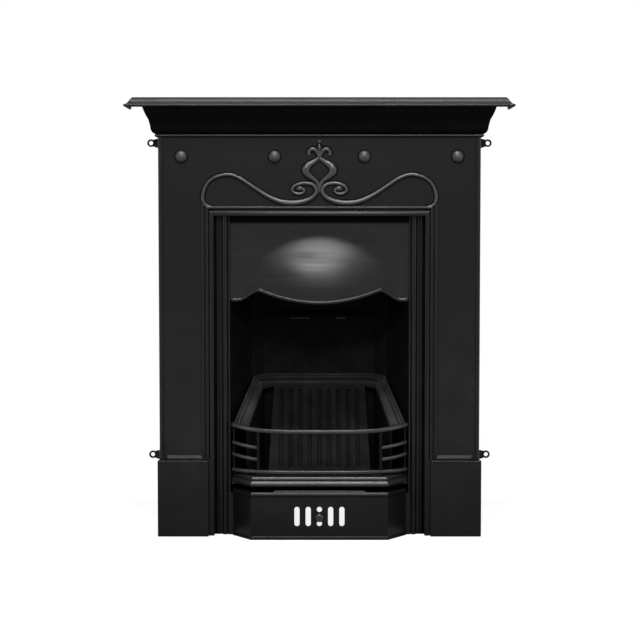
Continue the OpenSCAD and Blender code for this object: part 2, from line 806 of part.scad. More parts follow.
module hood_clips() {
    color(iron) both_sides() {
        difference() {
            translate([insert_half, out(hood_back), side_clip_z - clip_w])
                cube([clip_w, clip_t, 3.2 * clip_w]);
            from_behind(insert_half + clip_w / 2, hood_back - clip_t - 1, side_clip_z)
                cylinder(r = m6_r + hole_play, h = clip_t + 2);
        }
        difference() {
            translate([top_clip_x - clip_w, out(hood_back), hood_top - 4])
                cube([2 * clip_w, clip_t, 3.4 * clip_w]);
            from_behind(top_clip_x, hood_back - clip_t - 1, hood_top + hood_lap + clip_w)
                cylinder(r = m6_r + hole_play, h = clip_t + 2);
        }
    }
}

module hood_bolts() {
    length = clip_t + hood_t + wall_t - 1 - thread_gap;
    color(steel) both_sides() {
        from_behind(insert_half + clip_w / 2, hood_back - clip_t, side_clip_z) m6_bolt(length);
        from_behind(top_clip_x, hood_back - clip_t, hood_top + hood_lap + clip_w) m6_bolt(length);
    }
}

// ---------------------------------------------------------------- firebox

cheek_x = insert_half + 18;
cheek_flange_x = opening_half + 9;
back_flange_x = corner_x + bolt_flange;
back_bolt_zs = [180, 350, back_top - 20];
ledge_z = base_z - wall_t;

// Everything under the sloping throat plate, by depth and height
module under_throat() {
    across() polygon([[out(face_out), -1], [out(-big), -1], [out(-big), throat_foot_z],
                      [out(-throat_foot_in), throat_foot_z], [out(insert_back), throat_front_z],
                      [out(face_out), throat_front_z]]);
}

// Inner face of the right cheek at a depth d in front of the wall
function cheek_at(d) = cheek_x + (corner_x - cheek_x) * (insert_back - d) / (insert_back + corner_in);

module cheek() {
    difference() {
        union() {
            intersection() {
                linear_extrude(throat_front_z)
                    union() {
                        polygon(strip([[cheek_x, out(insert_back)], [corner_x, out(-corner_in)]], 0, wall_t));
                        translate([cheek_x, out(insert_back)])
                            square([cheek_flange_x - cheek_x, wall_t]);
                        translate([corner_x, out(-corner_in + wall_t)]) square([bolt_flange, wall_t]);
                    }
                union() {
                    under_throat();
                    translate([0, out(insert_back), 0]) cube([big, wall_t, throat_front_z - 2 * wall_t]);
                }
                translate([0, out(insert_back), 0])
                    cube([big, insert_back + corner_in, throat_front_z]);
            }
            cheek_ledge();
        }
        for (z = cheek_bolt_zs)
            from_behind(cheek_bolt_x, insert_back - wall_t - 1, z)
                cylinder(r = m8_r + hole_play, h = wall_t + 2);
        for (z = back_bolt_zs)
            from_behind(back_bolt_x, -corner_in - 1, z)
                cylinder(r = m8_r + hole_play, h = wall_t + 2);
    }
}

// A short ledge under the base plate
ledge_in = 60;
ledge_l = 36;
module cheek_ledge() {
    translate([0, 0, ledge_z])
        linear_extrude(wall_t)
            polygon([[cheek_at(-ledge_in) + wall_t / 2, out(-ledge_in)],
                     [cheek_at(-ledge_in - ledge_l) + wall_t / 2, out(-ledge_in - ledge_l)],
                     [corner_x - 20, out(-ledge_in - ledge_l)],
                     [corner_x - 20, out(-ledge_in)]]);
}

module left_cheek() {
    color(iron_dark) mirror([1, 0, 0]) cheek();
}

module right_cheek() {
    color(iron_dark) cheek();
}

module cheek_bolts() {
    color(steel) both_sides()
        for (z = cheek_bolt_zs)
            from_behind(cheek_bolt_x, insert_back - wall_t, z) m8_bolt(2 * wall_t - 1 - thread_gap);
}

back_path = mirrored([[-back_flange_x, out(-corner_in)], [-corner_x, out(-corner_in)],
                      [-back_half, out(-back_in)]]);

module fire_back() {
    color(iron_dark)
    difference() {
        intersection() {
            translate([0, 0, back_foot]) linear_extrude(throat_front_z) polygon(strip(back_path, 0, -wall_t));
            under_throat();
        }
        translate([-back_half - wall_t, out(-back_in + 1), back_top])
            cube([back_w + 2 * wall_t, big, big]);
        both_sides()
            for (z = back_bolt_zs)
                from_behind(back_bolt_x, -corner_in - wall_t - 1, z)
                    cylinder(r = m8_r + hole_play, h = wall_t + 2);
    }
}

module back_bolts() {
    color(steel) both_sides()
        for (z = back_bolt_zs)
            translate([back_bolt_x, out(-corner_in + wall_t), z])
                rotate([-90, 0, 0]) m8_bolt(2 * wall_t + m8_nut_h + 2);
}

module back_nuts() {
    color(steel) both_sides()
        for (z = back_bolt_zs)
            translate([back_bolt_x, out(-corner_in - wall_t), z])
                rotate([-90, 0, 0]) hex_nut(m8_r, m8_head_r, m8_nut_h);
}

// ---------------------------------------------------------------- throat and damper

// Local axes on the slope: -Y runs up and forwards, +Z stands off the slope's upper side
module on_slope() {
    translate([0, out(-throat_foot_in), throat_foot_z]) rotate([-throat_angle, 0, 0]) children();
}

outlet_s = 14;
flap_lap = 10;
flap_s0 = pin_s;
flap_s1 = outlet_s + outlet_l + flap_lap;
pin_lug_w = 12;
flap_half = outlet_w / 2 + flap_lap;
lug_x0 = flap_half + 4;
knuckle_w = 18;
// Feet between the throat's lower edge and the fire back, as [start, width]
foot_side = back_half + wall_t - seat_gap;
foot_xs = [[-foot_side, foot_side - 106], [-95, 15], [-22, 61], [72, 8], [108, foot_side - 108]];

module throat_plate() {
    color(iron_dark)
    difference() {
        union() {
            intersection() {
                on_slope()
                    linear_extrude(wall_t)
                        difference() {
                            polygon([[-corner_x - wall_t, 0], [corner_x + wall_t, 0],
                                     [cheek_x + wall_t, -throat_len - wall_t],
                                     [-cheek_x - wall_t, -throat_len - wall_t]]);
                            translate([-outlet_w / 2, -outlet_s - outlet_l]) square([outlet_w, outlet_l]);
                        }
                translate([-big / 2, out(insert_back), 0]) cube([big, big, big]);
            }
            translate([-cheek_x + 22, out(insert_back), throat_front_z])
                cube([2 * cheek_x - 44, wall_t, insert_top - throat_front_z]);
            both_sides() on_slope() hinge_lug();
            throat_feet();
        }
        for (x = throat_bolt_xs)
            from_behind(x, insert_back - wall_t - 1, throat_bolt_z)
                cylinder(r = m8_r + hole_play, h = wall_t + 2);
    }
}

// Feet that stand on the fire back and leave an air slot between them
module throat_feet() {
    intersection() {
        for (foot = foot_xs)
            translate([foot[0], out(-back_in), back_top]) cube([foot[1], wall_t, slot_h + 2 * wall_t]);
        under_throat();
    }
}

module hinge_lug() {
    difference() {
        union() {
            translate([lug_x0, -pin_s - knuckle_r, 1]) cube([pin_lug_w, 2 * knuckle_r, pin_lift - 1]);
            translate([lug_x0, -pin_s, pin_lift]) rotate([0, 90, 0]) cylinder(r = knuckle_r, h = pin_lug_w);
        }
        translate([lug_x0 - 1, -pin_s, pin_lift]) rotate([0, 90, 0])
            cylinder(r = pin_r + tap_play, h = pin_lug_w + 2);
    }
}

module throat_bolts() {
    color(steel)
        for (x = throat_bolt_xs)
            from_behind(x, insert_back - wall_t, throat_bolt_z) m8_bolt(2 * wall_t - 1 - thread_gap);
}

module damper_flap() {
    rib_w = 8;
    rib_h = 10;
    color(iron_dark) on_slope()
    difference() {
        union() {
            translate([-flap_half, -flap_s1, wall_t + seat_gap])
                cube([2 * flap_half, flap_s1 - flap_s0, wall_t]);
            both_sides() {
                translate([flap_half - 4 - knuckle_w, -pin_s - knuckle_r, wall_t + seat_gap + 1])
                    cube([knuckle_w, knuckle_r, pin_lift - wall_t]);
                translate([flap_half - 4 - knuckle_w, -pin_s, pin_lift]) rotate([0, 90, 0])
                    cylinder(r = knuckle_r, h = knuckle_w);
            }
            translate([-rib_w / 2, -flap_s1 + 6, 2 * wall_t - 1])
                cube([rib_w, flap_s1 - flap_s0 - 12, rib_h]);
            translate([-rib_w, -flap_s1 + 22, -rib_h]) cube([2 * rib_w, wall_t, rib_h + 2 * wall_t]);
        }
        translate([-flap_half, -pin_s, pin_lift]) rotate([0, 90, 0])
            cylinder(r = pin_r + pin_play, h = 2 * flap_half);
    }
}

module damper_pin() {
    length = 2 * (lug_x0 + pin_lug_w) + 8;
    color(steel) on_slope()
        translate([-length / 2, -pin_s, pin_lift]) rotate([0, 90, 0]) cylinder(r = pin_r, h = length);
}

// ---------------------------------------------------------------- base plate

rail_end_x = insert_half - 4;
rail_end_out = 48;
rail_return = 14;
rail_path = [[-rail_end_x, out(rail_end_out - rail_return)], [-rail_end_x, out(rail_end_out)],
             [-rail_half, out(rail_out)], [rail_half, out(rail_out)],
             [rail_end_x, out(rail_end_out)], [rail_end_x, out(rail_end_out - rail_return)]];
// The rail's ledges end just short of the hopper's skirts
rim_end_out = bars_end_out - bar_d / 2 - 1;
rim_half = insert_half - 8;
skirt_front_x = rim_half - rail_w - wall_t;
skirt_corner = [skirt_front_x + wall_t, out(rim_end_out)];
rail_d = (rail_path[4] - skirt_corner) * right_of(direction(rail_path, 3)) - seat_gap;
rail_web = 12;
// The rail's two rolls, as steps of [height, distance outwards], the upper roll set back
rail_steps = [[0, -5], [3, -2], [6, 0], [15, -2], [17, -6], [19, -5], [21, -4], [25, -5], [rail_h, -5]];

// The rail: a moulded web with a ledge behind its top and its foot
module rail() {
    for (i = [0:len(rail_steps) - 2])
        layer(rail_path, rail_steps[i][1], -rail_web, base_z + rail_steps[i][0],
              rail_steps[i + 1][0] - rail_steps[i][0]);
    layer(rail_path, -rail_web + 1, -rail_d, base_z, wall_t);
    layer(rail_path, -rail_web + 1, -rail_d, base_z + rail_h - wall_t, wall_t);
}

// Where the base plate, following the rail's ends, meets the cheeks
plate_play = 2;
meet_out = insert_back - (cheek_x - rail_end_x - plate_play) * (insert_back + corner_in) / (cheek_x - corner_x);
plate_outline = mirrored([[-rail_half + rail_d / 2, out(rail_out - rail_d + 4)],
                          [-rail_half + rail_d / 2 - 4, out(rail_out - rail_d + 4)],
                          [-rail_end_x + 6, out(rail_end_out)], [-rail_end_x, out(rail_end_out - 1)],
                          [-rail_end_x, out(meet_out)],
                          [-corner_x + plate_play, out(-corner_in + 1)],
                          [-back_half + 1, out(-back_in + 1)]]);
rim_back_x = corner_x - plate_play;
rim_back_in = corner_in - 1;
skirt_back_x = rim_back_x - 23;
function skirt_at(d) =
    skirt_front_x + (skirt_back_x - skirt_front_x) * (rim_end_out - d) / (rim_end_out + rim_back_in);
ash_drop_w = 230;
ash_drop_front = 68;
ash_drop_back = 4;
grate_lap = 8;
// Two bolts on each side hold the hopper's feet, this far outside its skirts
foot_bolt_side = 20;
hopper_bolt_at = [for (d = [18, -36]) [skirt_at(d) + foot_bolt_side, d]];

module base_plate() {
    color(iron)
    difference() {
        union() {
            rail();
            translate([0, 0, base_z]) linear_extrude(wall_t) polygon(plate_outline);
            both_sides() translate([base_ear_x - 24, out(insert_back), base_z]) cube([30, wall_t, 22]);
        }
        translate([-ash_drop_w / 2, out(ash_drop_front), base_z - 1])
            cube([ash_drop_w, ash_drop_front + ash_drop_back, wall_t + 2]);
        both_sides() {
            from_behind(base_ear_x, insert_back - wall_t - 1, base_ear_z)
                cylinder(r = m6_r + hole_play, h = wall_t + 2);
            for (at = hopper_bolt_at)
                translate([at[0], out(at[1]), base_z - 1]) cylinder(r = m6_r + hole_play, h = wall_t + 2);
        }
    }
}

module base_bolts() {
    color(steel) both_sides()
        from_behind(base_ear_x, insert_back - wall_t, base_ear_z) m6_bolt(2 * wall_t - 1 - thread_gap);
}

// ---------------------------------------------------------------- fire basket

rim_drop = 22;
flute_t = 10;
flute_foot_z = 152;
flute_foot_in = 24;
flute_top_in = 124;
flute_angle = atan2(flute_top - flute_foot_z, flute_top_in - flute_foot_in);
flute_len = norm([flute_top - flute_foot_z, flute_top_in - flute_foot_in]);
flute_border = 16;
flute_depth = 6;
back_rail_z = flute_top + 3;
back_rail_half = flute_top_w / 2 + 2;
back_rail_in = flute_top_in + 2;

// A flat or slightly warped sheet between four corners, thickened by a shift
module sheet(corners, shift) {
    polyhedron(concat(corners, [for (p = corners) p + shift]),
               [[0, 1, 2], [0, 2, 3], [4, 6, 5], [4, 7, 6], [0, 4, 5], [0, 5, 1],
                [1, 5, 6], [1, 6, 2], [2, 6, 7], [2, 7, 3], [3, 7, 4], [3, 4, 0]]);
}

// The feet lie between the base plate's ears and the cheeks' ledges
foot_front = insert_back - wall_t - seat_gap;
foot_back = 48;
foot_w = 33;
module hopper_side() {
    front_in = [skirt_front_x, out(rim_end_out), rim_front_z - 4];
    back_low = [skirt_back_x, out(-rim_back_in), rim_back_z - rim_drop];
    back_out = [rim_back_x, out(-rim_back_in), rim_back_z];
    sheet([back_low, back_out, [rim_half, out(rim_end_out), rim_front_z], front_in], [0, 0, -wall_t]);
    sheet([[back_rail_half - 2, out(-back_rail_in - wall_t / 2), back_rail_z + wall_t + 2],
           [back_half - 1, out(-back_in + 2), back_rail_z + 24], back_out, back_low], [0, 0, -wall_t]);
    sheet([[skirt_front_x, out(rim_end_out), base_top], [skirt_back_x, out(-rim_back_in), base_top],
           back_low - [0, 0, 2], front_in - [0, 0, 2]], [wall_t, 0, 0]);
    translate([0, 0, base_top])
        linear_extrude(wall_t)
            polygon([[skirt_at(foot_front), out(foot_front)],
                     [skirt_at(foot_front) + foot_w, out(foot_front)],
                     [skirt_at(-foot_back) + foot_w, out(-foot_back)],
                     [skirt_at(-foot_back), out(-foot_back)]]);
}

module hopper() {
    face_h = 24;
    pad_w = 16;
    color(iron_dark)
    difference() {
        union() {
            both_sides() {
                hopper_side();
                translate([back_rail_half * 0.6, out(-flute_back_in - seat_gap), back_rail_z - 12])
                    cube([pad_w, back_in - 2 - flute_back_in - seat_gap, face_h + 6]);
            }
            translate([-back_rail_half, out(-back_rail_in), back_rail_z])
                cube([2 * back_rail_half, wall_t, face_h]);
            translate([-back_rail_half, out(-back_rail_in), back_rail_z + face_h - wall_t])
                cube([2 * back_rail_half, back_in - 2 - back_rail_in, wall_t]);
        }
        both_sides()
            for (at = hopper_bolt_at)
                translate([at[0], out(at[1]), base_top - eps]) cylinder(r = m6_r + tap_play, h = wall_t - 1);
    }
}

module hopper_bolts() {
    color(steel) both_sides()
        for (at = hopper_bolt_at)
            translate([at[0], out(at[1]), base_z]) m6_bolt(2 * wall_t - 1 - thread_gap);
}

// The fluted plate leans back; its local +Y runs up the slope and +Z is its front
flute_back_in = flute_top_in + flute_t * sin(flute_angle);
module fluted_plate() {
    color(iron)
    intersection() {
        translate([0, out(-flute_foot_in), flute_foot_z])
            rotate([flute_angle, 0, 0])
                translate([0, 0, -flute_t])
                    difference() {
                        linear_extrude(flute_t)
                            polygon([[-flute_foot_w / 2, -40], [flute_foot_w / 2, -40],
                                     [flute_foot_w / 2, 0], [flute_top_w / 2, flute_len],
                                     [-flute_top_w / 2, flute_len], [-flute_foot_w / 2, 0]]);
                        for (i = [0:flute_n - 1])
                            translate([(i - (flute_n - 1) / 2) * flute_pitch, 0, flute_t - flute_depth])
                                flute();
                    }
        translate([-big / 2, -big / 2, base_top + seat_gap]) cube([big, big, big]);
    }
}

module flute() {
    linear_extrude(flute_depth + 1) {
        translate([0, flute_len - flute_border - flute_w / 2]) circle(r = flute_w / 2);
        translate([-flute_w / 2, 6]) square([flute_w, flute_len - flute_border - flute_w / 2 - 6]);
    }
}

module bottom_grate() {
    half_w = ash_drop_w / 2 + grate_lap;
    length = ash_drop_front + ash_drop_back + 2 * grate_lap - 4;
    pitch = ash_drop_w / grate_n;
    color(iron_dark)
    translate([0, out(ash_drop_front + grate_lap - 2), base_top + seat_gap])
    difference() {
        translate([-half_w, 0, 0]) cube([2 * half_w, length, grate_t]);
        for (i = [0:grate_n - 1])
            translate([(i - (grate_n - 1) / 2) * pitch - pitch * 0.28, 2 * grate_lap, -1])
                cube([pitch * 0.56, length - 4 * grate_lap, grate_t + 2]);
    }
}

// ---------------------------------------------------------------- front bars

bar_steps = 20;
bars_floor = base_z + rail_h + seat_gap;
side_bar_zs = [219, 190];
low_bar_top = 168;
function bars_d(x) = bars_end_out + (bars_mid_out - bars_end_out) * (1 - pow(abs(x) / bars_half, 4));
function bar_z(x) = bars_rise * pow(abs(x) / bars_half, 4);
bar_xs = [for (i = [-bar_steps:bar_steps]) bars_half * i / bar_steps];

module bar(z) {
    path = [for (x = bar_xs) [x, z + bar_z(x)]];
    polygon(strip(path, -bar_h / 2, bar_h / 2));
}

module front_bars() {
    plan = [for (x = bar_xs) [x, out(bars_d(x))]];
    reach = 2 * rail_out;
    color(iron_light)
    intersection() {
        linear_extrude(rim_front_z + 20) polygon(strip(plan, -bar_d / 2, bar_d / 2));
        union() {
            upright(0, reach) bar(bars_top - bar_h / 2);
            for (z = side_bar_zs)
                difference() {
                    upright(0, reach) bar(z);
                    translate([-post_x, out(reach) - 1, 0]) cube([2 * post_x, reach + 2, overall_h]);
                }
            translate([-bars_half, out(reach), bars_floor + 2])
                cube([2 * bars_half, reach, low_bar_top - bars_floor - 2]);
            both_sides() {
                translate([post_x - post_w / 2, out(reach), bars_floor])
                    cube([post_w, reach, bars_top - bars_floor - 2]);
                translate([bars_half - post_w, out(reach), bars_floor])
                    cube([post_w, reach, bars_top + bars_rise * 0.7 - bars_floor]);
            }
        }
    }
}

// ---------------------------------------------------------------- ash cover

cover_end_x = insert_half - 7;
cover_end_out = 50;
cover_half = rail_half + 2;
cover_path = [[-cover_end_x, out(return_out + seat_gap)], [-cover_end_x, out(cover_end_out)],
              [-cover_half, out(cover_out)], [cover_half, out(cover_out)],
              [cover_end_x, out(cover_end_out)], [cover_end_x, out(return_out + seat_gap)]];
cover_foot_h = 8;
cover_band_h = 6;
cover_proud = 1.5;
hump_half = 118;
hump_h = 4.5;
// The cover's stops meet the front of the insert frame beside its strips
stop_x = strip_x - strip_r - 1;

module ash_cover() {
    color(iron)
    difference() {
        union() {
            layer(cover_path, 0, -wall_t, 0, cover_h);
            layer(cover_path, cover_proud, -wall_t, 0, cover_foot_h);
            layer(cover_path, cover_proud, -flange_d, cover_h - cover_band_h, cover_band_h);
            both_sides() translate([cover_end_x - wall_t / 2, out(return_out + seat_gap + wall_t), 0])
                cube([stop_x - cover_end_x + wall_t / 2, wall_t, cover_h - 2 * wall_t]);
            upright(cover_out - flange_d, cover_out + cover_proud)
                polygon([[-hump_half, cover_h - 1], [hump_half, cover_h - 1],
                         [hump_half - 10, cover_h + hump_h], [-hump_half + 10, cover_h + hump_h]]);
        }
        difference() {
            upright(cover_out - wall_t - 1, cover_out + cover_proud + 1)
                for (i = [0:slot_n - 1])
                    translate([(i - (slot_n - 1) / 2) * slot_pitch, 0]) air_slot();
            from_behind(0, cover_out - wall_t - 1, knob_z) cylinder(r = knob_d / 2, h = wall_t + 2);
        }
        from_behind(0, cover_out - wall_t - 1, knob_z) cylinder(r = m6_r + hole_play, h = wall_t + 2);
    }
}

module air_slot() {
    r = slot_w / 2;
    translate([0, slot_low + r]) circle(r = r);
    translate([0, slot_high - r]) circle(r = r);
    translate([-r, slot_low + r]) square([slot_w, slot_high - slot_low - slot_w]);
}

module cover_knob() {
    r = knob_d / 2;
    color(iron_light) from_behind(0, cover_out, knob_z)
    difference() {
        rotate_extrude()
            polygon([[0, 0], [0.75 * r, 0], [0.75 * r, 2.5], [0.48 * r, 5], [0.48 * r, knob_l * 0.45],
                     [0.85 * r, knob_l * 0.56], [r, knob_l * 0.7], [0.93 * r, knob_l * 0.85],
                     [0.6 * r, knob_l * 0.96], [0, knob_l]]);
        translate([0, 0, -eps]) cylinder(r = m6_r + tap_play, h = knob_l * 0.62);
    }
}

module knob_screw() {
    color(steel) from_behind(0, cover_out - wall_t, knob_z) m6_bolt(wall_t + knob_l * 0.62 - thread_gap);
}

mantel_shelf();
cornice();
surround();
left_plinth();
right_plinth();
wall_lugs();
lug_screws();
shelf_bolts();
cornice_bolts();
cornice_nuts();
plinth_bolts();
insert_frame();
insert_bolts();
hood();
hood_clips();
hood_bolts();
left_cheek();
right_cheek();
cheek_bolts();
fire_back();
back_bolts();
back_nuts();
throat_plate();
throat_bolts();
damper_flap();
damper_pin();
base_plate();
base_bolts();
hopper();
hopper_bolts();
fluted_plate();
bottom_grate();
front_bars();
ash_cover();
cover_knob();
knob_screw();
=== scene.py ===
"""Cast iron combination fireplace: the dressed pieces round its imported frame.

Sizes in the classes are millimetres. X runs along the shelf, Z is the height above the hearth
and "out" is the distance in front of the wall, as a fitter would measure it. A piece is made in
millimetres and turned to metres when it is finished, with its object at the origin.
"""

import logging
import math
from dataclasses import dataclass
from enum import Enum
from typing import Callable, Iterable, Sequence

import bmesh
import bpy
from mathutils import Matrix, Vector


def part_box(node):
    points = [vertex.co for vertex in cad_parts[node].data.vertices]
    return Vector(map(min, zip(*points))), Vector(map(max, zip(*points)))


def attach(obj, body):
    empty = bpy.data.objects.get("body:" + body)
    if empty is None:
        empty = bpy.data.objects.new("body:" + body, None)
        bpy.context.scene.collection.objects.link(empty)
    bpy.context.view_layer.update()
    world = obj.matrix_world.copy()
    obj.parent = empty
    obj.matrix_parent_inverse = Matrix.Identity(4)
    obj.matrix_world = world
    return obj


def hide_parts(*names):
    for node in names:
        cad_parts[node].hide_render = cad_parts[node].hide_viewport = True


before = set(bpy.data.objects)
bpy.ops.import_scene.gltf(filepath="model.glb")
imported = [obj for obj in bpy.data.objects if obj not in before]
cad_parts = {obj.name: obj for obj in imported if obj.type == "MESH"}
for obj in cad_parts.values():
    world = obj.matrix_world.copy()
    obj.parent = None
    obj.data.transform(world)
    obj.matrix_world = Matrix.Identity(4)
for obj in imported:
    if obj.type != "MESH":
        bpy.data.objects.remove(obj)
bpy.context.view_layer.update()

LOG = logging.getLogger("fireplace")
MM = 0.001
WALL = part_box("wall_lugs")[1][1] / MM

Pair = tuple[float, float]

ROD_SIDES = 24
BAR_SIDES = 20
WHITE = (1, 1, 1, 1)


class Body(Enum):
    """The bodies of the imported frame."""

    FIREPLACE = "fireplace"
    BARS = "bars"
    COVER = "cover"


class Slot(Enum):
    """The record's material slots."""

    POLISHED = "polished_casting"
    FIREBOX = "firebox_casting"
    BASKET = "basket_casting"


# ---------------------------------------------------------------- places and outlines


def at(x: float, out: float, z: float) -> Vector:
    """A point in millimetres, from its distance in front of the wall."""
    return Vector((x, WALL - out, z))


def smooth_step(t: float) -> float:
    """A share from 0 to 1 that starts and ends level."""
    t = min(max(t, 0.0), 1.0)
    return t * t * (3 - 2 * t)


def arc(centre: Pair, radius: Pair, start: float, end: float, steps: int) -> list[Pair]:
    """Points of an elliptical arc.

    Args:
        centre: the ellipse's centre.
        radius: its two half axes.
        start: the first angle in degrees.
        end: the last angle in degrees.
        steps: the number of lengths between points.

    Returns:
        The points, both ends included.
    """
    angles = [math.radians(start + (end - start) * i / steps) for i in range(steps + 1)]
    return [(centre[0] + radius[0] * math.cos(a),
             centre[1] + radius[1] * math.sin(a)) for a in angles]


def mirrored(points: Sequence[Pair]) -> list[Pair]:
    """The points and then their images across the middle, in the order of one outline."""
    return list(points) + [(-x, z) for x, z in reversed(points)]


def beside(path: Sequence[Pair], i: int, d: float) -> Pair:
    """Point i of a plan path moved outwards with a mitre.

    Args:
        path: points of x and out, from the left end round the front to the right end.
        i: the point's number.
        d: how far to move it outwards.

    Returns:
        The moved point as x and out.
    """
    points = [Vector(p) for p in path]
    last = len(points) - 1
    before = (points[max(i, 1)] - points[max(i, 1) - 1]).normalized()
    after = (points[min(i, last - 1) + 1] - points[min(i, last - 1)]).normalized()
    normal_before = Vector((-before.y, before.x))
    normal_after = Vector((-after.y, after.x))
    middle = (normal_before + normal_after).normalized()
    moved = points[i] + middle * (d / middle.dot(normal_after))
    return moved.x, moved.y


def jamb_rings(half: float, low: float, high: float, section: Sequence[Pair]) -> list[list[Vector]]:
    """The section of a moulding up one side of an opening, over its head and down the other.

    Args:
        half: half the opening's width.
        low: the height where the moulding starts.
        high: the height of the opening.
        section: points of distance away from the opening and distance in front of the wall.

    Returns:
        One ring of points for each end and each mitred corner.
    """
    return [[at(-half - u, out, low) for u, out in section],
            [at(-half - u, out, high + u) for u, out in section],
            [at(half + u, out, high + u) for u, out in section],
            [at(half + u, out, low) for u, out in section]]


def mitred_rings(path: Sequence[Pair], section: Sequence[Pair]) -> list[list[Vector]]:
    """The section of a moulding at each corner of a plan path.

    Args:
        path: points of x and out.
        section: points of distance outwards and height.

    Returns:
        One ring of points for each corner.
    """
    rings = []
    for i in range(len(path)):
        ring = []
        for u, z in section:
            x, out = beside(path, i, u)
            ring.append(at(x, out, z))
        rings.append(ring)
    return rings


# ---------------------------------------------------------------- shaping


def loft(bm: bmesh.types.BMesh, rings: Sequence[Sequence[Vector]]) -> None:
    """Extrudes a closed ring of points through the rings that follow it and caps both ends.

    Args:
        bm: the mesh to add to.
        rings: rings with the same number of points.
    """
    verts = [bm.verts.new(p) for p in rings[0]]
    pairs = [(i, (i + 1) % len(verts)) for i in range(len(verts))]
    edges = [bm.edges.new((verts[a], verts[b])) for a, b in pairs]
    caps = [edges]
    for ring in rings[1:]:
        made = bmesh.ops.extrude_edge_only(bm, edges=edges)["geom"]
        fresh = {v for v in made if isinstance(v, bmesh.types.BMVert)}
        verts = [next(e.other_vert(v) for e in v.link_edges if e.other_vert(v) in fresh)
                 for v in verts]
        for vert, place in zip(verts, ring):
            vert.co = place
        edges = [bm.edges.get((verts[a], verts[b])) for a, b in pairs]
    caps.append(edges)
    for ends in caps:
        bmesh.ops.edgeloop_fill(bm, edges=ends)


def upright_prism(bm: bmesh.types.BMesh, outline: Sequence[Pair], back: float,
                  front: float) -> None:
    """A plate with an outline of x and z, between two distances in front of the wall."""
    loft(bm, [[at(x, d, z) for x, z in outline] for d in (back, front)])


def plan_prism(bm: bmesh.types.BMesh, outline: Sequence[Pair], low: float, high: float) -> None:
    """A plate with a plan outline of x and out, between two heights."""
    loft(bm, [[at(x, d, z) for x, d in outline] for z in (low, high)])


def cross_prism(bm: bmesh.types.BMesh, outline: Sequence[Pair], x0: float, x1: float) -> None:
    """A bar with an outline of out and z, between two places along the width."""
    loft(bm, [[at(x, d, z) for d, z in outline] for x in (x0, x1)])


def block(bm: bmesh.types.BMesh, x: Pair, out: Pair, z: Pair) -> None:
    """A box between two values of each direction.

    Args:
        bm: the mesh to add to.
        x: its two ends along the width, the lower first.
        out: its two distances in front of the wall, in any order.
        z: its two heights, the lower first.
    """
    low = at(x[0], max(out), z[0])
    high = at(x[1], min(out), z[1])
    size = high - low
    place = Matrix.Translation((low + high) / 2) @ Matrix.Diagonal((size.x, size.y, size.z, 1))
    bmesh.ops.create_cube(bm, size=1, matrix=place)


def rod(bm: bmesh.types.BMesh, start: Vector, end: Vector, radius: float) -> None:
    """A round rod between two points.

    Args:
        bm: the mesh to add to.
        start: the middle of one end.
        end: the middle of the other end.
        radius: its radius.
    """
    axis = end - start
    turn = axis.to_track_quat("Z", "Y").to_matrix().to_4x4()
    place = Matrix.Translation((start + end) / 2) @ turn
    bmesh.ops.create_cone(bm, cap_ends=True, segments=ROD_SIDES, radius1=radius, radius2=radius,
                          depth=axis.length, matrix=place)


def ball(bm: bmesh.types.BMesh, centre: Vector, radius: float, stretch: Sequence[float],
         meridians: int, rings: int) -> None:
    """A ball that may be flattened.

    Args:
        bm: the mesh to add to.
        centre: its middle.
        radius: its radius before it is stretched.
        stretch: factors along the width, the depth and the height.
        meridians: the number of flats round it.
        rings: the number of flats from pole to pole.
    """
    place = Matrix.Translation(centre) @ Matrix.Diagonal((*stretch, 1))
    bmesh.ops.create_uvsphere(bm, u_segments=meridians, v_segments=rings, radius=radius,
                              matrix=place)


def soft_oblong(half: Pair, power: float) -> list[Pair]:
    """The section of a bar with rounded sides.

    Args:
        half: half its width and half its height.
        power: 1 for an ellipse, and less for flatter sides.

    Returns:
        Its points round the middle.
    """
    outline = []
    for i in range(BAR_SIDES):
        a = math.tau * i / BAR_SIDES
        c, s = math.cos(a), math.sin(a)
        outline.append((half[0] * math.copysign(abs(c) ** power, c),
                        half[1] * math.copysign(abs(s) ** power, s)))
    return outline


def turned(bm: bmesh.types.BMesh, profile: Sequence[Pair], centre: Vector, steps: int = 40) -> None:
    """Spins a profile round an axis that points forwards.

    Args:
        bm: the mesh to add to.
        profile: points of radius and distance forwards, on the axis at both ends or closed.
        centre: where the axis starts.
        steps: the number of flats round the axis.
    """
    closed = profile[0] == profile[-1]
    points = profile[:-1] if closed else profile
    verts = [bm.verts.new(centre + Vector((r, -d, 0))) for r, d in points]
    edges = [bm.edges.new(pair) for pair in zip(verts, verts[1:])]
    if closed:
        edges.append(bm.edges.new((verts[-1], verts[0])))
    bmesh.ops.spin(bm, geom=verts + edges, cent=centre, axis=(0, 1, 0), angle=math.tau, steps=steps,
                   use_merge=True)


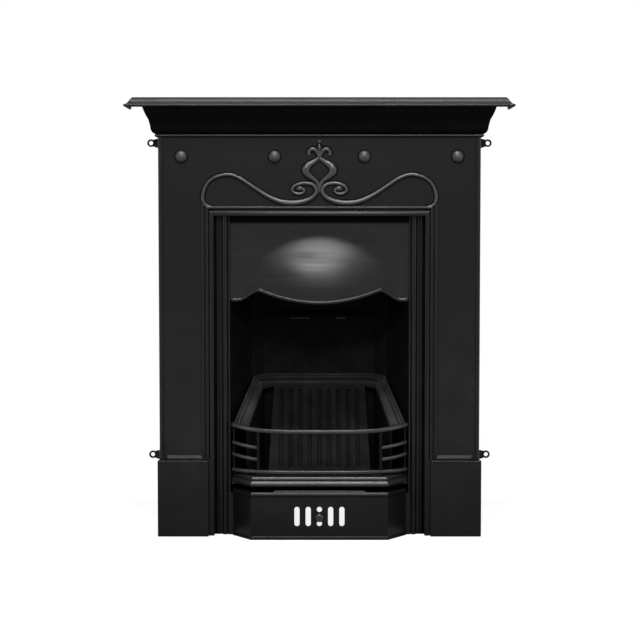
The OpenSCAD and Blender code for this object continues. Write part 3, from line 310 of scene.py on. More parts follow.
def swept_line(bm: bmesh.types.BMesh, points: Sequence[Pair], radii: Sequence[float], out: float,
               height: float) -> None:
    """A raised, rounded line on an upright face, smooth through its points.

    Args:
        bm: the mesh to add to.
        points: x and z of the line's middle.
        radii: half its width at each point.
        out: the face's distance in front of the wall.
        height: how far the line stands proud where it is widest.
    """
    data = bpy.data.curves.new("line", "CURVE")
    data.dimensions = "3D"
    data.bevel_depth = 1.0
    data.bevel_resolution = 5
    data.use_fill_caps = True
    spline = data.splines.new("BEZIER")
    spline.resolution_u = 6
    spline.bezier_points.add(len(points) - 1)
    for knot, (x, z), radius in zip(spline.bezier_points, points, radii):
        knot.co = (x, 0.0, z)
        knot.handle_left_type = knot.handle_right_type = "AUTO"
        knot.radius = radius
    line = bpy.data.objects.new("line", data)
    bpy.context.scene.collection.objects.link(line)
    graph = bpy.context.evaluated_depsgraph_get()
    mesh = bpy.data.meshes.new_from_object(line.evaluated_get(graph))
    flatten = Matrix.Diagonal((1, height / max(radii), 1, 1))
    mesh.transform(Matrix.Translation((0, WALL - out, 0)) @ flatten)
    bm.from_mesh(mesh)
    bpy.data.objects.remove(line)
    bpy.data.curves.remove(data)
    bpy.data.meshes.remove(mesh)


def cut_away(piece: bpy.types.Object, shape: Callable[[bmesh.types.BMesh], None]) -> None:
    """Cuts a shape out of a finished piece.

    Args:
        piece: the object that is cut, in metres.
        shape: adds the cutting shape to a mesh, in millimetres.
    """
    bm = bmesh.new()
    shape(bm)
    bmesh.ops.recalc_face_normals(bm, faces=bm.faces)
    bmesh.ops.scale(bm, vec=(MM, MM, MM), verts=bm.verts)
    mesh = bpy.data.meshes.new("cutter")
    bm.to_mesh(mesh)
    bm.free()
    cutter = bpy.data.objects.new("cutter", mesh)
    bpy.context.scene.collection.objects.link(cutter)
    cut = piece.modifiers.new("cut", "BOOLEAN")
    cut.operation = "DIFFERENCE"
    cut.solver = "EXACT"
    cut.object = cutter
    bpy.context.view_layer.update()
    result = bpy.data.meshes.new_from_object(
        piece.evaluated_get(bpy.context.evaluated_depsgraph_get()))
    piece.modifiers.remove(cut)
    old = piece.data
    piece.data = result
    bpy.data.meshes.remove(old)
    bpy.data.objects.remove(cutter)
    bpy.data.meshes.remove(mesh)


# ---------------------------------------------------------------- finishes


def linear(code: str) -> tuple[float, float, float, float]:
    """Turns an sRGB hex colour to linear.

    Args:
        code: the colour, such as #1b1b1c.

    Returns:
        Linear red, green, blue and alpha.
    """
    parts = [int(code[i:i + 2], 16) / 255 for i in (1, 3, 5)]
    primaries = [c / 12.92 if c <= 0.04045 else ((c + 0.055) / 1.055) ** 2.4 for c in parts]
    return (*primaries, 1.0)


def add_node(tree: bpy.types.NodeTree, kind: str, settings: dict | None = None,
             numbered: dict | None = None, **inputs: object) -> bpy.types.Node:
    """Adds a shader node with its settings and inputs.

    Args:
        tree: the material's node tree.
        kind: the node's type name.
        settings: properties of the node itself.
        numbered: values or output sockets by input number, where inputs share a name.
        **inputs: values or output sockets by input name, with underscores for spaces.

    Returns:
        The node.
    """
    node = tree.nodes.new(kind)
    for key, value in (settings or {}).items():
        setattr(node, key, value)
    named = {key.replace("_", " "): value for key, value in inputs.items()}
    for key, value in {**(numbered or {}), **named}.items():
        socket = node.inputs[key]
        if isinstance(value, bpy.types.NodeSocket):
            tree.links.new(value, socket)
        else:
            socket.default_value = value
    return node


@dataclass(frozen=True)
class CastIronFinish:
    """Sand cast iron under a thin dressing: grainy, satin and close to black.

    The grain is the sand of the mould, drawn a little coarse so that it shows. The cloud is the
    uneven rub of the polish, lighter on what the cloth reaches.
    """

    name: str
    dark: str
    light: str
    roughness: float
    roughness_swing: float
    specular: float
    grain_mm: float
    grain_depth_mm: float
    cloud_mm: float
    metallic: float = 0.0
    stretch: Vector = Vector((1.0, 1.0, 1.0))

    def material(self) -> bpy.types.Material:
        """Builds the finish from two noise patterns on Object coordinates.

        Returns:
            The material.
        """
        made = bpy.data.materials.new(self.name)
        made.use_nodes = True
        tree = made.node_tree
        tree.nodes.clear()
        place = add_node(tree, "ShaderNodeTexCoord").outputs["Object"]
        spread = add_node(tree, "ShaderNodeMapping", Vector=place, Scale=self.stretch).outputs[0]
        cloud = add_node(tree, "ShaderNodeTexNoise", Vector=spread,
                         Scale=1 / (self.cloud_mm * MM), Detail=4.0, Roughness=0.55).outputs[0]
        grain = add_node(tree, "ShaderNodeTexNoise", Vector=place,
                         Scale=1 / (self.grain_mm * MM), Detail=3.0, Roughness=0.6).outputs[0]
        tone = add_node(tree, "ShaderNodeMapRange", Value=cloud, From_Min=0.35, From_Max=0.65)
        colour = add_node(tree, "ShaderNodeMix", {"data_type": "RGBA"},
                          {0: tone.outputs[0], 6: linear(self.dark), 7: linear(self.light)})
        rough = add_node(tree, "ShaderNodeMapRange", Value=cloud, From_Min=0.3, From_Max=0.7,
                         To_Min=self.roughness + self.roughness_swing,
                         To_Max=self.roughness - self.roughness_swing)
        bump = add_node(tree, "ShaderNodeBump", Height=grain, Strength=0.5,
                        Distance=self.grain_depth_mm * MM)
        shader = add_node(tree, "ShaderNodeBsdfPrincipled", Base_Color=colour.outputs[2],
                          Roughness=rough.outputs[0], Metallic=self.metallic,
                          Normal=bump.outputs[0], Specular_IOR_Level=self.specular)
        add_node(tree, "ShaderNodeOutputMaterial", Surface=shader.outputs[0])
        return made


# Cast iron rubbed with graphite paste: satin black with a soft sheen over the sand grain.
GRAPHITE_POLISH = CastIronFinish(
    "graphite_polished_cast_iron", dark="#0d0d0e", light="#151516", roughness=0.3,
    roughness_swing=0.04, specular=0.3, grain_mm=2.4, grain_depth_mm=0.12, cloud_mm=70)
# The same paste, darkened as painted shade where parts sit in shadow: flat and nearly without
# sheen.
SHADE_DARKENED_GRAPHITE = CastIronFinish(
    "graphite_darkened_as_painted_shade", dark="#040405", light="#070708", roughness=0.6,
    roughness_swing=0.05, specular=0.04, grain_mm=2.4, grain_depth_mm=0.12, cloud_mm=70)
# Raised work that the cloth meets first: greyer and brighter, so its lines catch the lamps.
RUBBED_GRAPHITE = CastIronFinish(
    "graphite_rubbed_up_on_raised_work", dark="#1b1b1c", light="#262627", roughness=0.36,
    roughness_swing=0.03, specular=0.8, grain_mm=2.0, grain_depth_mm=0.06, cloud_mm=60)
# Fire cement under soot: a matt brown black that hides the joint.
SOOTED_CEMENT = CastIronFinish(
    "sooted_fire_cement", dark="#121211", light="#1b1a19", roughness=0.9,
    roughness_swing=0.05, specular=0.1, grain_mm=1.5, grain_depth_mm=0.3, cloud_mm=12)
# Pale cement as painted light where light shows through the joint: chalky grey, short light
# strokes.
PALE_CEMENT_PAINTED_LIGHT = CastIronFinish(
    "cement_paled_as_painted_light", dark="#5a5854", light="#74726c", roughness=0.85,
    roughness_swing=0.05, specular=0.2, grain_mm=1.5, grain_depth_mm=0.3, cloud_mm=12)
# Studs, rubbed less hard than the relief: a wide, soft highlight on each dome.
STUD_GRAPHITE = CastIronFinish(
    "graphite_rubbed_up_on_studs", dark="#1b1b1c", light="#262627", roughness=0.48,
    roughness_swing=0.04, specular=0.8, grain_mm=2.0, grain_depth_mm=0.06, cloud_mm=30)
# The hood, brushed from side to side: its highlight is drawn out along the width in streaks.
BRUSHED_GRAPHITE = CastIronFinish(
    "graphite_brushed_on_the_hood", dark="#0d0d0e", light="#151516", roughness=0.32,
    roughness_swing=0.05, specular=0.45, grain_mm=2.4, grain_depth_mm=0.1, cloud_mm=30,
    stretch=Vector((0.2, 1.0, 3.4)))
# Stove black on an undressed casting: matt, almost black, with a coarser grain.
STOVE_BLACK = CastIronFinish(
    "stove_black_firebox_cast_iron", dark="#060607", light="#0c0c0d", roughness=0.7,
    roughness_swing=0.08, specular=0.1, grain_mm=3.2, grain_depth_mm=0.2, cloud_mm=45)
# The polished rim's sides, lightened as painted light: a dark grey with a quiet sheen along its
# ribs.
LIGHTENED_RIM_GRAPHITE = CastIronFinish(
    "rim_sides_lightened_as_painted_light", dark="#2c2c2d", light="#383839", roughness=0.42,
    roughness_swing=0.05, specular=0.14, grain_mm=2.2, grain_depth_mm=0.1, cloud_mm=50)
# The polished ash cover: satin black, a shade greyer than the surround.
COVER_GRAPHITE = CastIronFinish(
    "graphite_polished_ash_cover", dark="#0e0e0f", light="#171718", roughness=0.32,
    roughness_swing=0.04, specular=0.28, grain_mm=2.2, grain_depth_mm=0.1, cloud_mm=60)
# The rim's polish darkened as painted shade, for parts in shadow: a dark, broken sheen.
SHADE_DARKENED_RIM = CastIronFinish(
    "rim_and_posts_darkened_as_painted_shade", dark="#0e0e0e", light="#181818", roughness=0.5,
    roughness_swing=0.06, specular=0.12, grain_mm=2.2, grain_depth_mm=0.15, cloud_mm=50)
# Iron burnt matt behind the coals: a shade lighter than its grooves, so that they show.
SOOTED_IRON = CastIronFinish(
    "sooted_cast_iron_of_the_back_plate", dark="#151516", light="#1d1d1e", roughness=0.7,
    roughness_swing=0.08, specular=0.05, grain_mm=2.6, grain_depth_mm=0.2, cloud_mm=40)
# Blackened steel: a dark metal with a metal's own sharp glint on each head.
BLACKENED_STEEL = CastIronFinish(
    "blackened_steel_bolts", dark="#3a3a3c", light="#4b4b4e", roughness=0.42,
    roughness_swing=0.05, specular=0.5, grain_mm=1.5, grain_depth_mm=0.02, cloud_mm=8, metallic=1.0)


class Dresser:
    """Makes each finish once and finishes pieces with them."""

    def __init__(self) -> None:
        """Makes the materials of every slot."""
        self.made = {finish.name: finish.material() for finish in (
            GRAPHITE_POLISH, SHADE_DARKENED_GRAPHITE, RUBBED_GRAPHITE, STUD_GRAPHITE, BRUSHED_GRAPHITE,
            STOVE_BLACK, LIGHTENED_RIM_GRAPHITE, COVER_GRAPHITE, SHADE_DARKENED_RIM, SOOTED_IRON, PALE_CEMENT_PAINTED_LIGHT,
            SOOTED_CEMENT, BLACKENED_STEEL)}

    def finish(self, bm: bmesh.types.BMesh, name: str, body: Body, slot: Slot, look: CastIronFinish,
               replaces: Iterable[str] = (), edge: float = 0.8,
               crease: float = 32) -> bpy.types.Object:
        """Turns a mesh in millimetres into a finished piece in metres.

        Args:
            bm: the mesh, which is freed.
            name: the piece's name.
            body: the body that it rides on.
            slot: not used; it is handed on to dress, which does not read it.
            look: its finish.
            replaces: the solids that it stands for.
            edge: the radius of its worn edges in millimetres, or 0 for none.
            crease: the angle in degrees above which an edge is an edge.

        Returns:
            The piece.
        """
        bmesh.ops.remove_doubles(bm, verts=bm.verts, dist=0.005)
        bmesh.ops.recalc_face_normals(bm, faces=bm.faces)
        bmesh.ops.scale(bm, vec=(MM, MM, MM), verts=bm.verts)
        mesh = bpy.data.meshes.new(name)
        bm.to_mesh(mesh)
        bm.free()
        piece = bpy.data.objects.new(name, mesh)
        bpy.context.scene.collection.objects.link(piece)
        self.dress(piece, slot, look, edge, crease)
        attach(piece, body.value)
        if replaces:
            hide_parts(*replaces)
        return piece

    def dress(self, piece: bpy.types.Object, slot: Slot, look: CastIronFinish, edge: float = 0.8,
              crease: float = 32) -> None:
        """Gives a piece its smooth faces, worn edges and material, and reports it.

        Args:
            piece: the piece.
            slot: not used.
            look: its finish.
            edge: the radius of its worn edges in millimetres, or 0 for none.
            crease: the angle in degrees above which an edge is an edge.
        """
        mesh = piece.data
        mesh.polygons.foreach_set("use_smooth", [True] * len(mesh.polygons))
        mesh.set_sharp_from_angle(angle=math.radians(crease))
        if edge:
            worn = piece.modifiers.new("worn_edges", "BEVEL")
            worn.width = edge * MM
            worn.segments = 2
            worn.limit_method = "ANGLE"
            worn.angle_limit = math.radians(crease)
            worn.harden_normals = True
        mesh.materials.clear()
        mesh.materials.append(self.made[look.name])
        LOG.info("%s: %d faces", piece.name, len(mesh.polygons))

    def paint(self, nodes: Iterable[str], look: CastIronFinish) -> None:
        """Gives solids of the frame that stay in view their finish.

        Args:
            nodes: the names of the solids.
            look: their finish.
        """
        for name in nodes:
            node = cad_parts[name]
            if not node.data.materials:
                node.data.materials.append(None)
            for place in node.material_slots:
                place.material = self.made[look.name]
            LOG.info("%s: kept from the frame", name)


@dataclass
class SubAssembly:
    """A group of pieces that are made and finished together."""

    dresser: Dresser


# ---------------------------------------------------------------- shelf and cornice


@dataclass
class Mantel(SubAssembly):
    """The shelf and the cornice under it."""

    height: float = 1073
    half_w: float = 472
    out: float = 100
    shelf_h: float = 24
    shelf_t: float = 7
    slope: float = 18
    lip_h: float = 7
    body_half: float = 393
    face: float = 56
    cornice_h: float = 88
    cornice_out: float = 35

    def shelf(self) -> None:
        """The shelf: a plate with a hanging edge, round lipped, hollow below."""
        low = self.height - self.shelf_h
        under = self.height - self.shelf_t
        lip = self.lip_h / 2
        section = arc((-lip, low + lip), (lip, lip), -90, 70, 8)
        steps = 14
        for i in range(steps + 1):
            t = i / steps
            section.append((-lip - self.slope * t,
                            low + self.lip_h + (self.shelf_h - self.lip_h) * smooth_step(t)))
        middle = -self.out / 2
        section += [(middle, self.height), (middle, under), (-20, under), (-8, under - 11),
                    (-8, low)]
        path = [(-self.half_w, 0), (-self.half_w, self.out), (self.half_w, self.out),
                (self.half_w, 0)]
        bm = bmesh.new()
        loft(bm, mitred_rings(path, section))
        inset = self.out / 2
        block(bm, (-self.half_w + inset - 1, self.half_w - inset + 1), (0, self.out - inset + 1),
              (under, self.height))
        self.dresser.finish(bm, "shelf", Body.FIREPLACE, Slot.POLISHED, GRAPHITE_POLISH,
                            ["mantel_shelf"], edge=0.6, crease=35)
        # Painted shade: a thin stove-black sheet lines the hollow underside of the shelf.
        lining = [(-3.5, low + 0.05), (-8, low + 0.05), (-8, under - 11), (-20, under),
                  (middle, under),
                  (middle, under - 0.6), (-20.3, under - 0.6), (-8.7, under - 11.3),
                  (-8.7, low - 0.25),
                  (-3.5, low - 0.25)]
        bm = bmesh.new()
        loft(bm, mitred_rings(path, lining))
        self.dresser.finish(bm, "shelf_underside_painted_shade", Body.FIREPLACE, Slot.POLISHED,
                            STOVE_BLACK, edge=0)

    def cornice(self) -> None:
        """The cornice: bead, belly, neck, swell and fillet, mitred at the corners and hollow."""
        foot = self.height - self.shelf_t - self.cornice_h
        neck, swell = (21, 41), 33
        outline = arc((3, 4), (4, 4), -90, 60, 8)
        outline += arc((6, 25.5), (11, 17.5), -90, 0, 10)
        for i in range(13):
            t = i / 12
            lean = (t + math.sin(math.pi / 2 * t)) / 2
            outline.append((neck[0] + (self.cornice_out - neck[0]) * lean, neck[1] + swell * t))
        outline += [(self.cornice_out, 77), (self.cornice_out - 12, self.cornice_h)]
        inner = [(-1, 88), (-1, 82), (17, 82), (29, 71), (29, 66), (20, 52), (15, 41), (11, 26),
                 (5, 14),
                 (-6, 6), (-30, 6), (-30, 0)]
        section = [(u, foot + z) for u, z in outline + inner]
        path = [(-self.body_half, 0), (-self.body_half, self.face), (self.body_half, self.face),
                (self.body_half, 0)]
        bm = bmesh.new()
        loft(bm, mitred_rings(path, section))
        # Painted shade: the cornice under the shelf takes the darkened copy of the polish.
        self.dresser.finish(bm, "cornice", Body.FIREPLACE, Slot.POLISHED, SHADE_DARKENED_GRAPHITE,
                            ["cornice"], edge=0.5, crease=35)
        bead = [(-1, foot + 0.6)] + arc((3, foot + 4), (4.3, 3.6), -75, 75, 10) + [(-1, foot + 7.4)]
        bm = bmesh.new()
        loft(bm, mitred_rings(path, bead))
        self.dresser.finish(bm, "cornice_bead", Body.FIREPLACE, Slot.POLISHED, BRUSHED_GRAPHITE,
                            edge=0)


# ---------------------------------------------------------------- surround


@dataclass
class Surround(SubAssembly):
    """The surround's one casting, with its ornament, plinths and wall lugs."""

    half_w: float = 393
    top: float = 978
    face: float = 56
    wall_t: float = 6
    opening_half: float = 259
    opening_h: float = 788
    return_d: float = 12
    plinth_h: float = 188
    plinth_out: float = 19
    plinth_wrap: float = 4
    stud_d: float = 29
    stud_h: float = 9
    stud_z: float = 931
    studs: tuple[float, ...] = (109.5, 337)
    lug_x: float = 415
    lug_zs: tuple[float, ...] = (194, 966)
    eye_r: float = 9.5
    pillar_x: float = 366
    boss_x: float = 277
    boss_r: float = 9
    bead_x: float = 274.6
    bead_z: float = 806.6
    bead_r: float = 4.2
    fillet_x: float = 285.5
    fillet_top: float = 822
    fillet_r: float = 4.8
    edge_x: float = 387.5
    edge_r: float = 5.5
    line_h: float = 4

    def casting(self) -> None:
        """The plate with its returns, band, beads, sills and bosses."""
        bm = bmesh.new()
        half, face, wall = self.half_w, self.face, self.wall_t
        opening, head = self.opening_half, self.opening_h
        upright_prism(bm, [(-half + wall / 2, 0), (-half + wall / 2, self.top),
                           (half - wall / 2, self.top),
                           (half - wall / 2, 0), (opening, 0), (opening, head),
                         (-opening, head), (-opening, 0)], face - wall, face)
        block(bm, (-half + wall, half - wall), (face - 30, face - 1), (self.top - wall, self.top))
        block(bm, (-opening, opening), (face - wall - self.return_d, face - 1), (head, head + wall))
        for side in (-1, 1):
            self.side_walls(bm, side)
            self.mouldings(bm, side)
        band = [(-0.4, face - 1), (-0.4, face + 5.2), (1.2, face + 6), (4.5, face + 5.6),
                (8.5, face + 3.9),
                (11, face + 2.1), (11.8, face - 1)]
        loft(bm, jamb_rings(opening, self.plinth_h - 1, head, band))
        self.dresser.finish(bm, "surround", Body.FIREPLACE, Slot.POLISHED, GRAPHITE_POLISH,
                            ["surround"], edge=1.2, crease=40)

    def side_walls(self, bm: bmesh.types.BMesh, side: int) -> None:
        """The flange to the wall, notched for the lugs, the opening's return and the bosses.

        Args:
            bm: the mesh to add to.
            side: -1 for the left and 1 for the right.
        """
        wall, face = self.wall_t, self.face
        outline = [(0.0, 0.0), (face - 1, 0.0), (face - 1, self.top), (0.0, self.top)]
        notch = 11.3
        for z in sorted(self.lug_zs, reverse=True):
            high = min(z + notch, self.top - 0.5)
            outline += [(0.0, high), (wall + 0.3, high), (wall + 0.3, z - notch), (0.0, z - notch)]
        cross_prism(bm, outline, side * (self.half_w - wall), side * self.half_w)
        back = face - wall - self.return_d
        block(bm, sorted_pair(side * self.opening_half, side * (self.opening_half + wall)),
              (back, face - 1), (0, self.opening_h + wall))
        bosses = [(self.boss_x, back, z) for z in (90, 420, self.opening_h - 48)]
        bosses += [(self.pillar_x, wall, z) for z in self.lug_zs]
        for x, start, z in bosses:
            rod(bm, at(side * x, start, z), at(side * x, face - 3, z), self.boss_r)

    def mouldings(self, bm: bmesh.types.BMesh, side: int) -> None:
        """The beads, the sill above the plinth and the plain strip beside it.

        Args:
            bm: the mesh to add to.
            side: -1 for the left and 1 for the right.
        """
        face = self.face
        foot = self.plinth_h
        fillet, bead, rim = side * self.fillet_x, side * self.bead_x, side * self.edge_x
        corner = at(bead, face + 0.5, self.bead_z)
        rod(bm, at(fillet, face, foot + 1), at(fillet, face, self.fillet_top), self.fillet_r)
        rod(bm, at(bead, face + 0.5, foot + 1), corner, self.bead_r)
        rod(bm, at(0, face + 0.5, self.bead_z), corner, self.bead_r)
        ball(bm, corner, self.bead_r, (1, 1, 1), 16, 10)
        rod(bm, at(rim, face, foot + 1), at(rim, face, self.top), self.edge_r)
        x = sorted_pair(side * 289, side * 374)
        cross_prism(bm, [(face - 1, foot + 3), (face + 5, foot + 3), (face + 5.2, foot + 3.8),
                         (face + 0.4, foot + 11), (face - 1, foot + 11.4)], x[0], x[1])
        block(bm, sorted_pair(side * 267, side * 392.5), (face - 1, face + 4.6), (foot, foot + 3))
        block(bm, sorted_pair(side * self.opening_half, side * (self.opening_half + 12.7)),
              (face - 1, face + 5), (0, foot))

    def stud_domes(self) -> None:
        """The four domed studs of the frieze."""
        bm = bmesh.new()
        radius = self.stud_d / 2
        cap = self.stud_h - 1.2
        curve = (radius ** 2 + cap ** 2) / (2 * cap)
        spread = math.asin(radius / curve)
        angles = [spread * k / 12 for k in range(12, -1, -1)]
        profile = [(radius - 1.2, -1.0), (radius - 1.2, 0.5), (radius, 1.0)]
        profile += [(curve * math.sin(a), 1.2 + cap - curve * (1 - math.cos(a))) for a in angles]
        # Thin rings round each stud in the darkened finish: painted shade where the dome meets the
        # plate.
        ring = [(radius - 3, -0.5), (radius - 3, 0.15), (radius + 2.2, 0.15), (radius + 3.4, -0.5),
                (radius - 3, -0.5)]
        domes, rings = bmesh.new(), bmesh.new()
        for x in self.studs:
            for side in (-1, 1):
                centre = at(side * x, self.face, self.stud_z)
                turned(domes, profile, centre, steps=48)
                turned(rings, ring, centre, steps=48)
        self.dresser.finish(domes, "frieze_studs", Body.FIREPLACE, Slot.POLISHED, STUD_GRAPHITE,
                            edge=0, crease=50)
        self.dresser.finish(rings, "painted_shade_rings_round_studs", Body.FIREPLACE, Slot.POLISHED,
                            SHADE_DARKENED_GRAPHITE, edge=0)

    def ornament(self) -> None:
        """The whiplash lines, the tulip with its curls and the drop above it."""
        whip = [(-255, 806.6), (-266, 807.5), (-276, 812), (-282.5, 820), (-285, 831), (-283, 845),
                (-276, 862), (-263.5, 875.5),
                (-243, 884.5), (-219.7, 887), (-195.3, 879.2), (-171, 863.8), (-146.6, 847.5),
                (-122.3, 833),
                (-97.9, 822.6), (-73.6, 818.5), (-49.2, 819.8), (-29.1, 825.4), (-14.9, 834.5),
                (-7.2, 846),
                (-9.5, 856), (-16.9, 862.6), (-29.4, 866), (-43.1, 865.8), (-55.8, 862),
                (-64.5, 856),
                (-66.6, 849.5), (-61.5, 843.4), (-50.6, 840.4), (-40.4, 843), (-37, 849),
                (-42, 853)]
        whip_r = [3.8, 4.2, 4.2, 4.2, 4.2, 4.0, 4.0, 4.0, 4.2, 4.3, 4.3, 4.3, 4.4, 5.0, 5.8, 6.4,
                  6.3, 5.8, 5.2, 4.9,
                  4.6, 4.3, 4.2, 4.2, 4.2, 4.2, 4.0, 3.8, 3.6, 3.3, 3.0, 2.2]
        bulb = [(1.5, 934), (-4, 926), (-14, 918), (-25.5, 910.5), (-32.5, 902), (-32.8, 894.5),
                (-26.5, 886),
                (-16.5, 878.5), (-7.5, 871), (-2.4, 862), (-0.6, 850), (0, 843)]
        bulb_r = [4.2, 4.5, 5.3, 7.4, 9.2, 9.0, 7.2, 5.2, 4.3, 4.0, 3.4, 1.2]
        curl = [(0.5, 931), (-4.5, 940), (-9.5, 946.5), (-16, 949), (-22.5, 946.5), (-26, 941),
                (-25, 936)]
        curl_r = [4.4, 4.8, 5.2, 5.4, 5.2, 4.6, 4.0]
        bm = bmesh.new()
        # shade gathers wider, nearly flat copies of the lines in the darkened finish: painted shade
        # along the relief's edges.
        shade = bmesh.new()
        for side in (-1, 1):
            for points, radii, height in ((whip, whip_r, self.line_h + 2.5),
                                          (bulb, bulb_r, self.line_h + 2.5),
                                          (curl, curl_r, self.line_h + 2)):
                line = [(-side * x, z) for x, z in points]
                swept_line(bm, line, [1.08 * r for r in radii], self.face, height)
                swept_line(shade, line, [1.08 * r + 2.6 for r in radii], self.face, 0.3)
            ball(bm, at(side * 25.5, self.face, 937), 5.4, (1, 0.9, 1), 20, 12)
            ball(bm, at(-side * 47.5, self.face, 853.4), 6.6, (1.35, 0.6, 0.85), 24, 14)
        drop = [(0, 936), (0, 942), (0, 947), (0, 952), (0, 957), (0, 962)]
        drop_r = [3.4, 3.0, 3.6, 5.6, 4.6, 2.2]
        swept_line(bm, drop, drop_r, self.face, self.line_h + 2.5)
        swept_line(shade, drop, [r + 2.6 for r in drop_r], self.face, 0.3)
        ball(bm, at(0, self.face, 967), 5.0, (1, 0.9, 1), 20, 12)
        self.dresser.finish(bm, "whiplash_and_tulip_relief", Body.FIREPLACE, Slot.POLISHED,
                            RUBBED_GRAPHITE, edge=0, crease=60)
        self.dresser.finish(shade, "painted_shade_edges_of_relief", Body.FIREPLACE, Slot.POLISHED,
                            SHADE_DARKENED_GRAPHITE, edge=0, crease=60)

    def plinths(self) -> None:
        """The two trays that stand in front of the legs."""
        inner = self.opening_half + 13
        outer = self.half_w + self.plinth_wrap
        front = self.face + self.plinth_out
        for side, name, node in ((-1, "plinth_left", "left_plinth"),
                                 (1, "plinth_right", "right_plinth")):
            bm = bmesh.new()
            plan = [(inner, self.face + 0.05), (inner, front), (outer, front), (outer, 8),
                    (self.half_w + 0.05, 8), (self.half_w + 0.05, front - 6),
                    (inner + 6, front - 6),
                    (inner + 6, self.face + 0.05)]
            plan_prism(bm, [(side * x, d) for x, d in plan], 0, self.plinth_h - 3)
            block(bm, sorted_pair(side * inner, side * outer), (self.face + 0.05, front),
                  (self.plinth_h - 6, self.plinth_h - 0.05))
            for z in (0.25 * self.plinth_h, 0.75 * self.plinth_h):
                rod(bm, at(side * 332.5, self.face + 0.05, z), at(side * 332.5, front - 5, z), 9)
            self.dresser.finish(bm, name, Body.FIREPLACE, Slot.POLISHED, GRAPHITE_POLISH, [node],
                                edge=2.0, crease=40)

    def lugs(self) -> None:
        """The four straps, each with a ringed hole."""
        bm = bmesh.new()
        ring = arc((7.3, 5), (2.2, 1.4), 200, -20, 10)
        profile = [(5.0, 0.0), (5.0, 4.6)] + ring + [(self.eye_r, 4.5), (self.eye_r, 0.0),
                                                     (5.0, 0.0)]
        for side in (-1, 1):
            for z in self.lug_zs:
                turned(bm, profile, at(side * self.lug_x, 0, z), steps=36)
                block(bm, sorted_pair(side * (self.pillar_x - 9), side * (self.half_w + 1)),
                      (0, self.wall_t),
                      (z - 7.6, z + 7.6))
                web = [(self.half_w + 0.3, z - 14), (self.lug_x - 5, z - 8.3),
                       (self.lug_x - 5, z + 8.3),
                       (self.half_w + 0.3, z + 12)]
                upright_prism(bm, [(side * x, y) for x, y in web], 0, 5.2)
        self.dresser.finish(bm, "wall_lug_straps", Body.FIREPLACE, Slot.POLISHED, GRAPHITE_POLISH,
                            ["wall_lugs"], edge=0.6, crease=40)


def sorted_pair(a: float, b: float) -> Pair:
    """The two values, the lower first."""
    return (a, b) if a < b else (b, a)


# ---------------------------------------------------------------- insert frame and hood


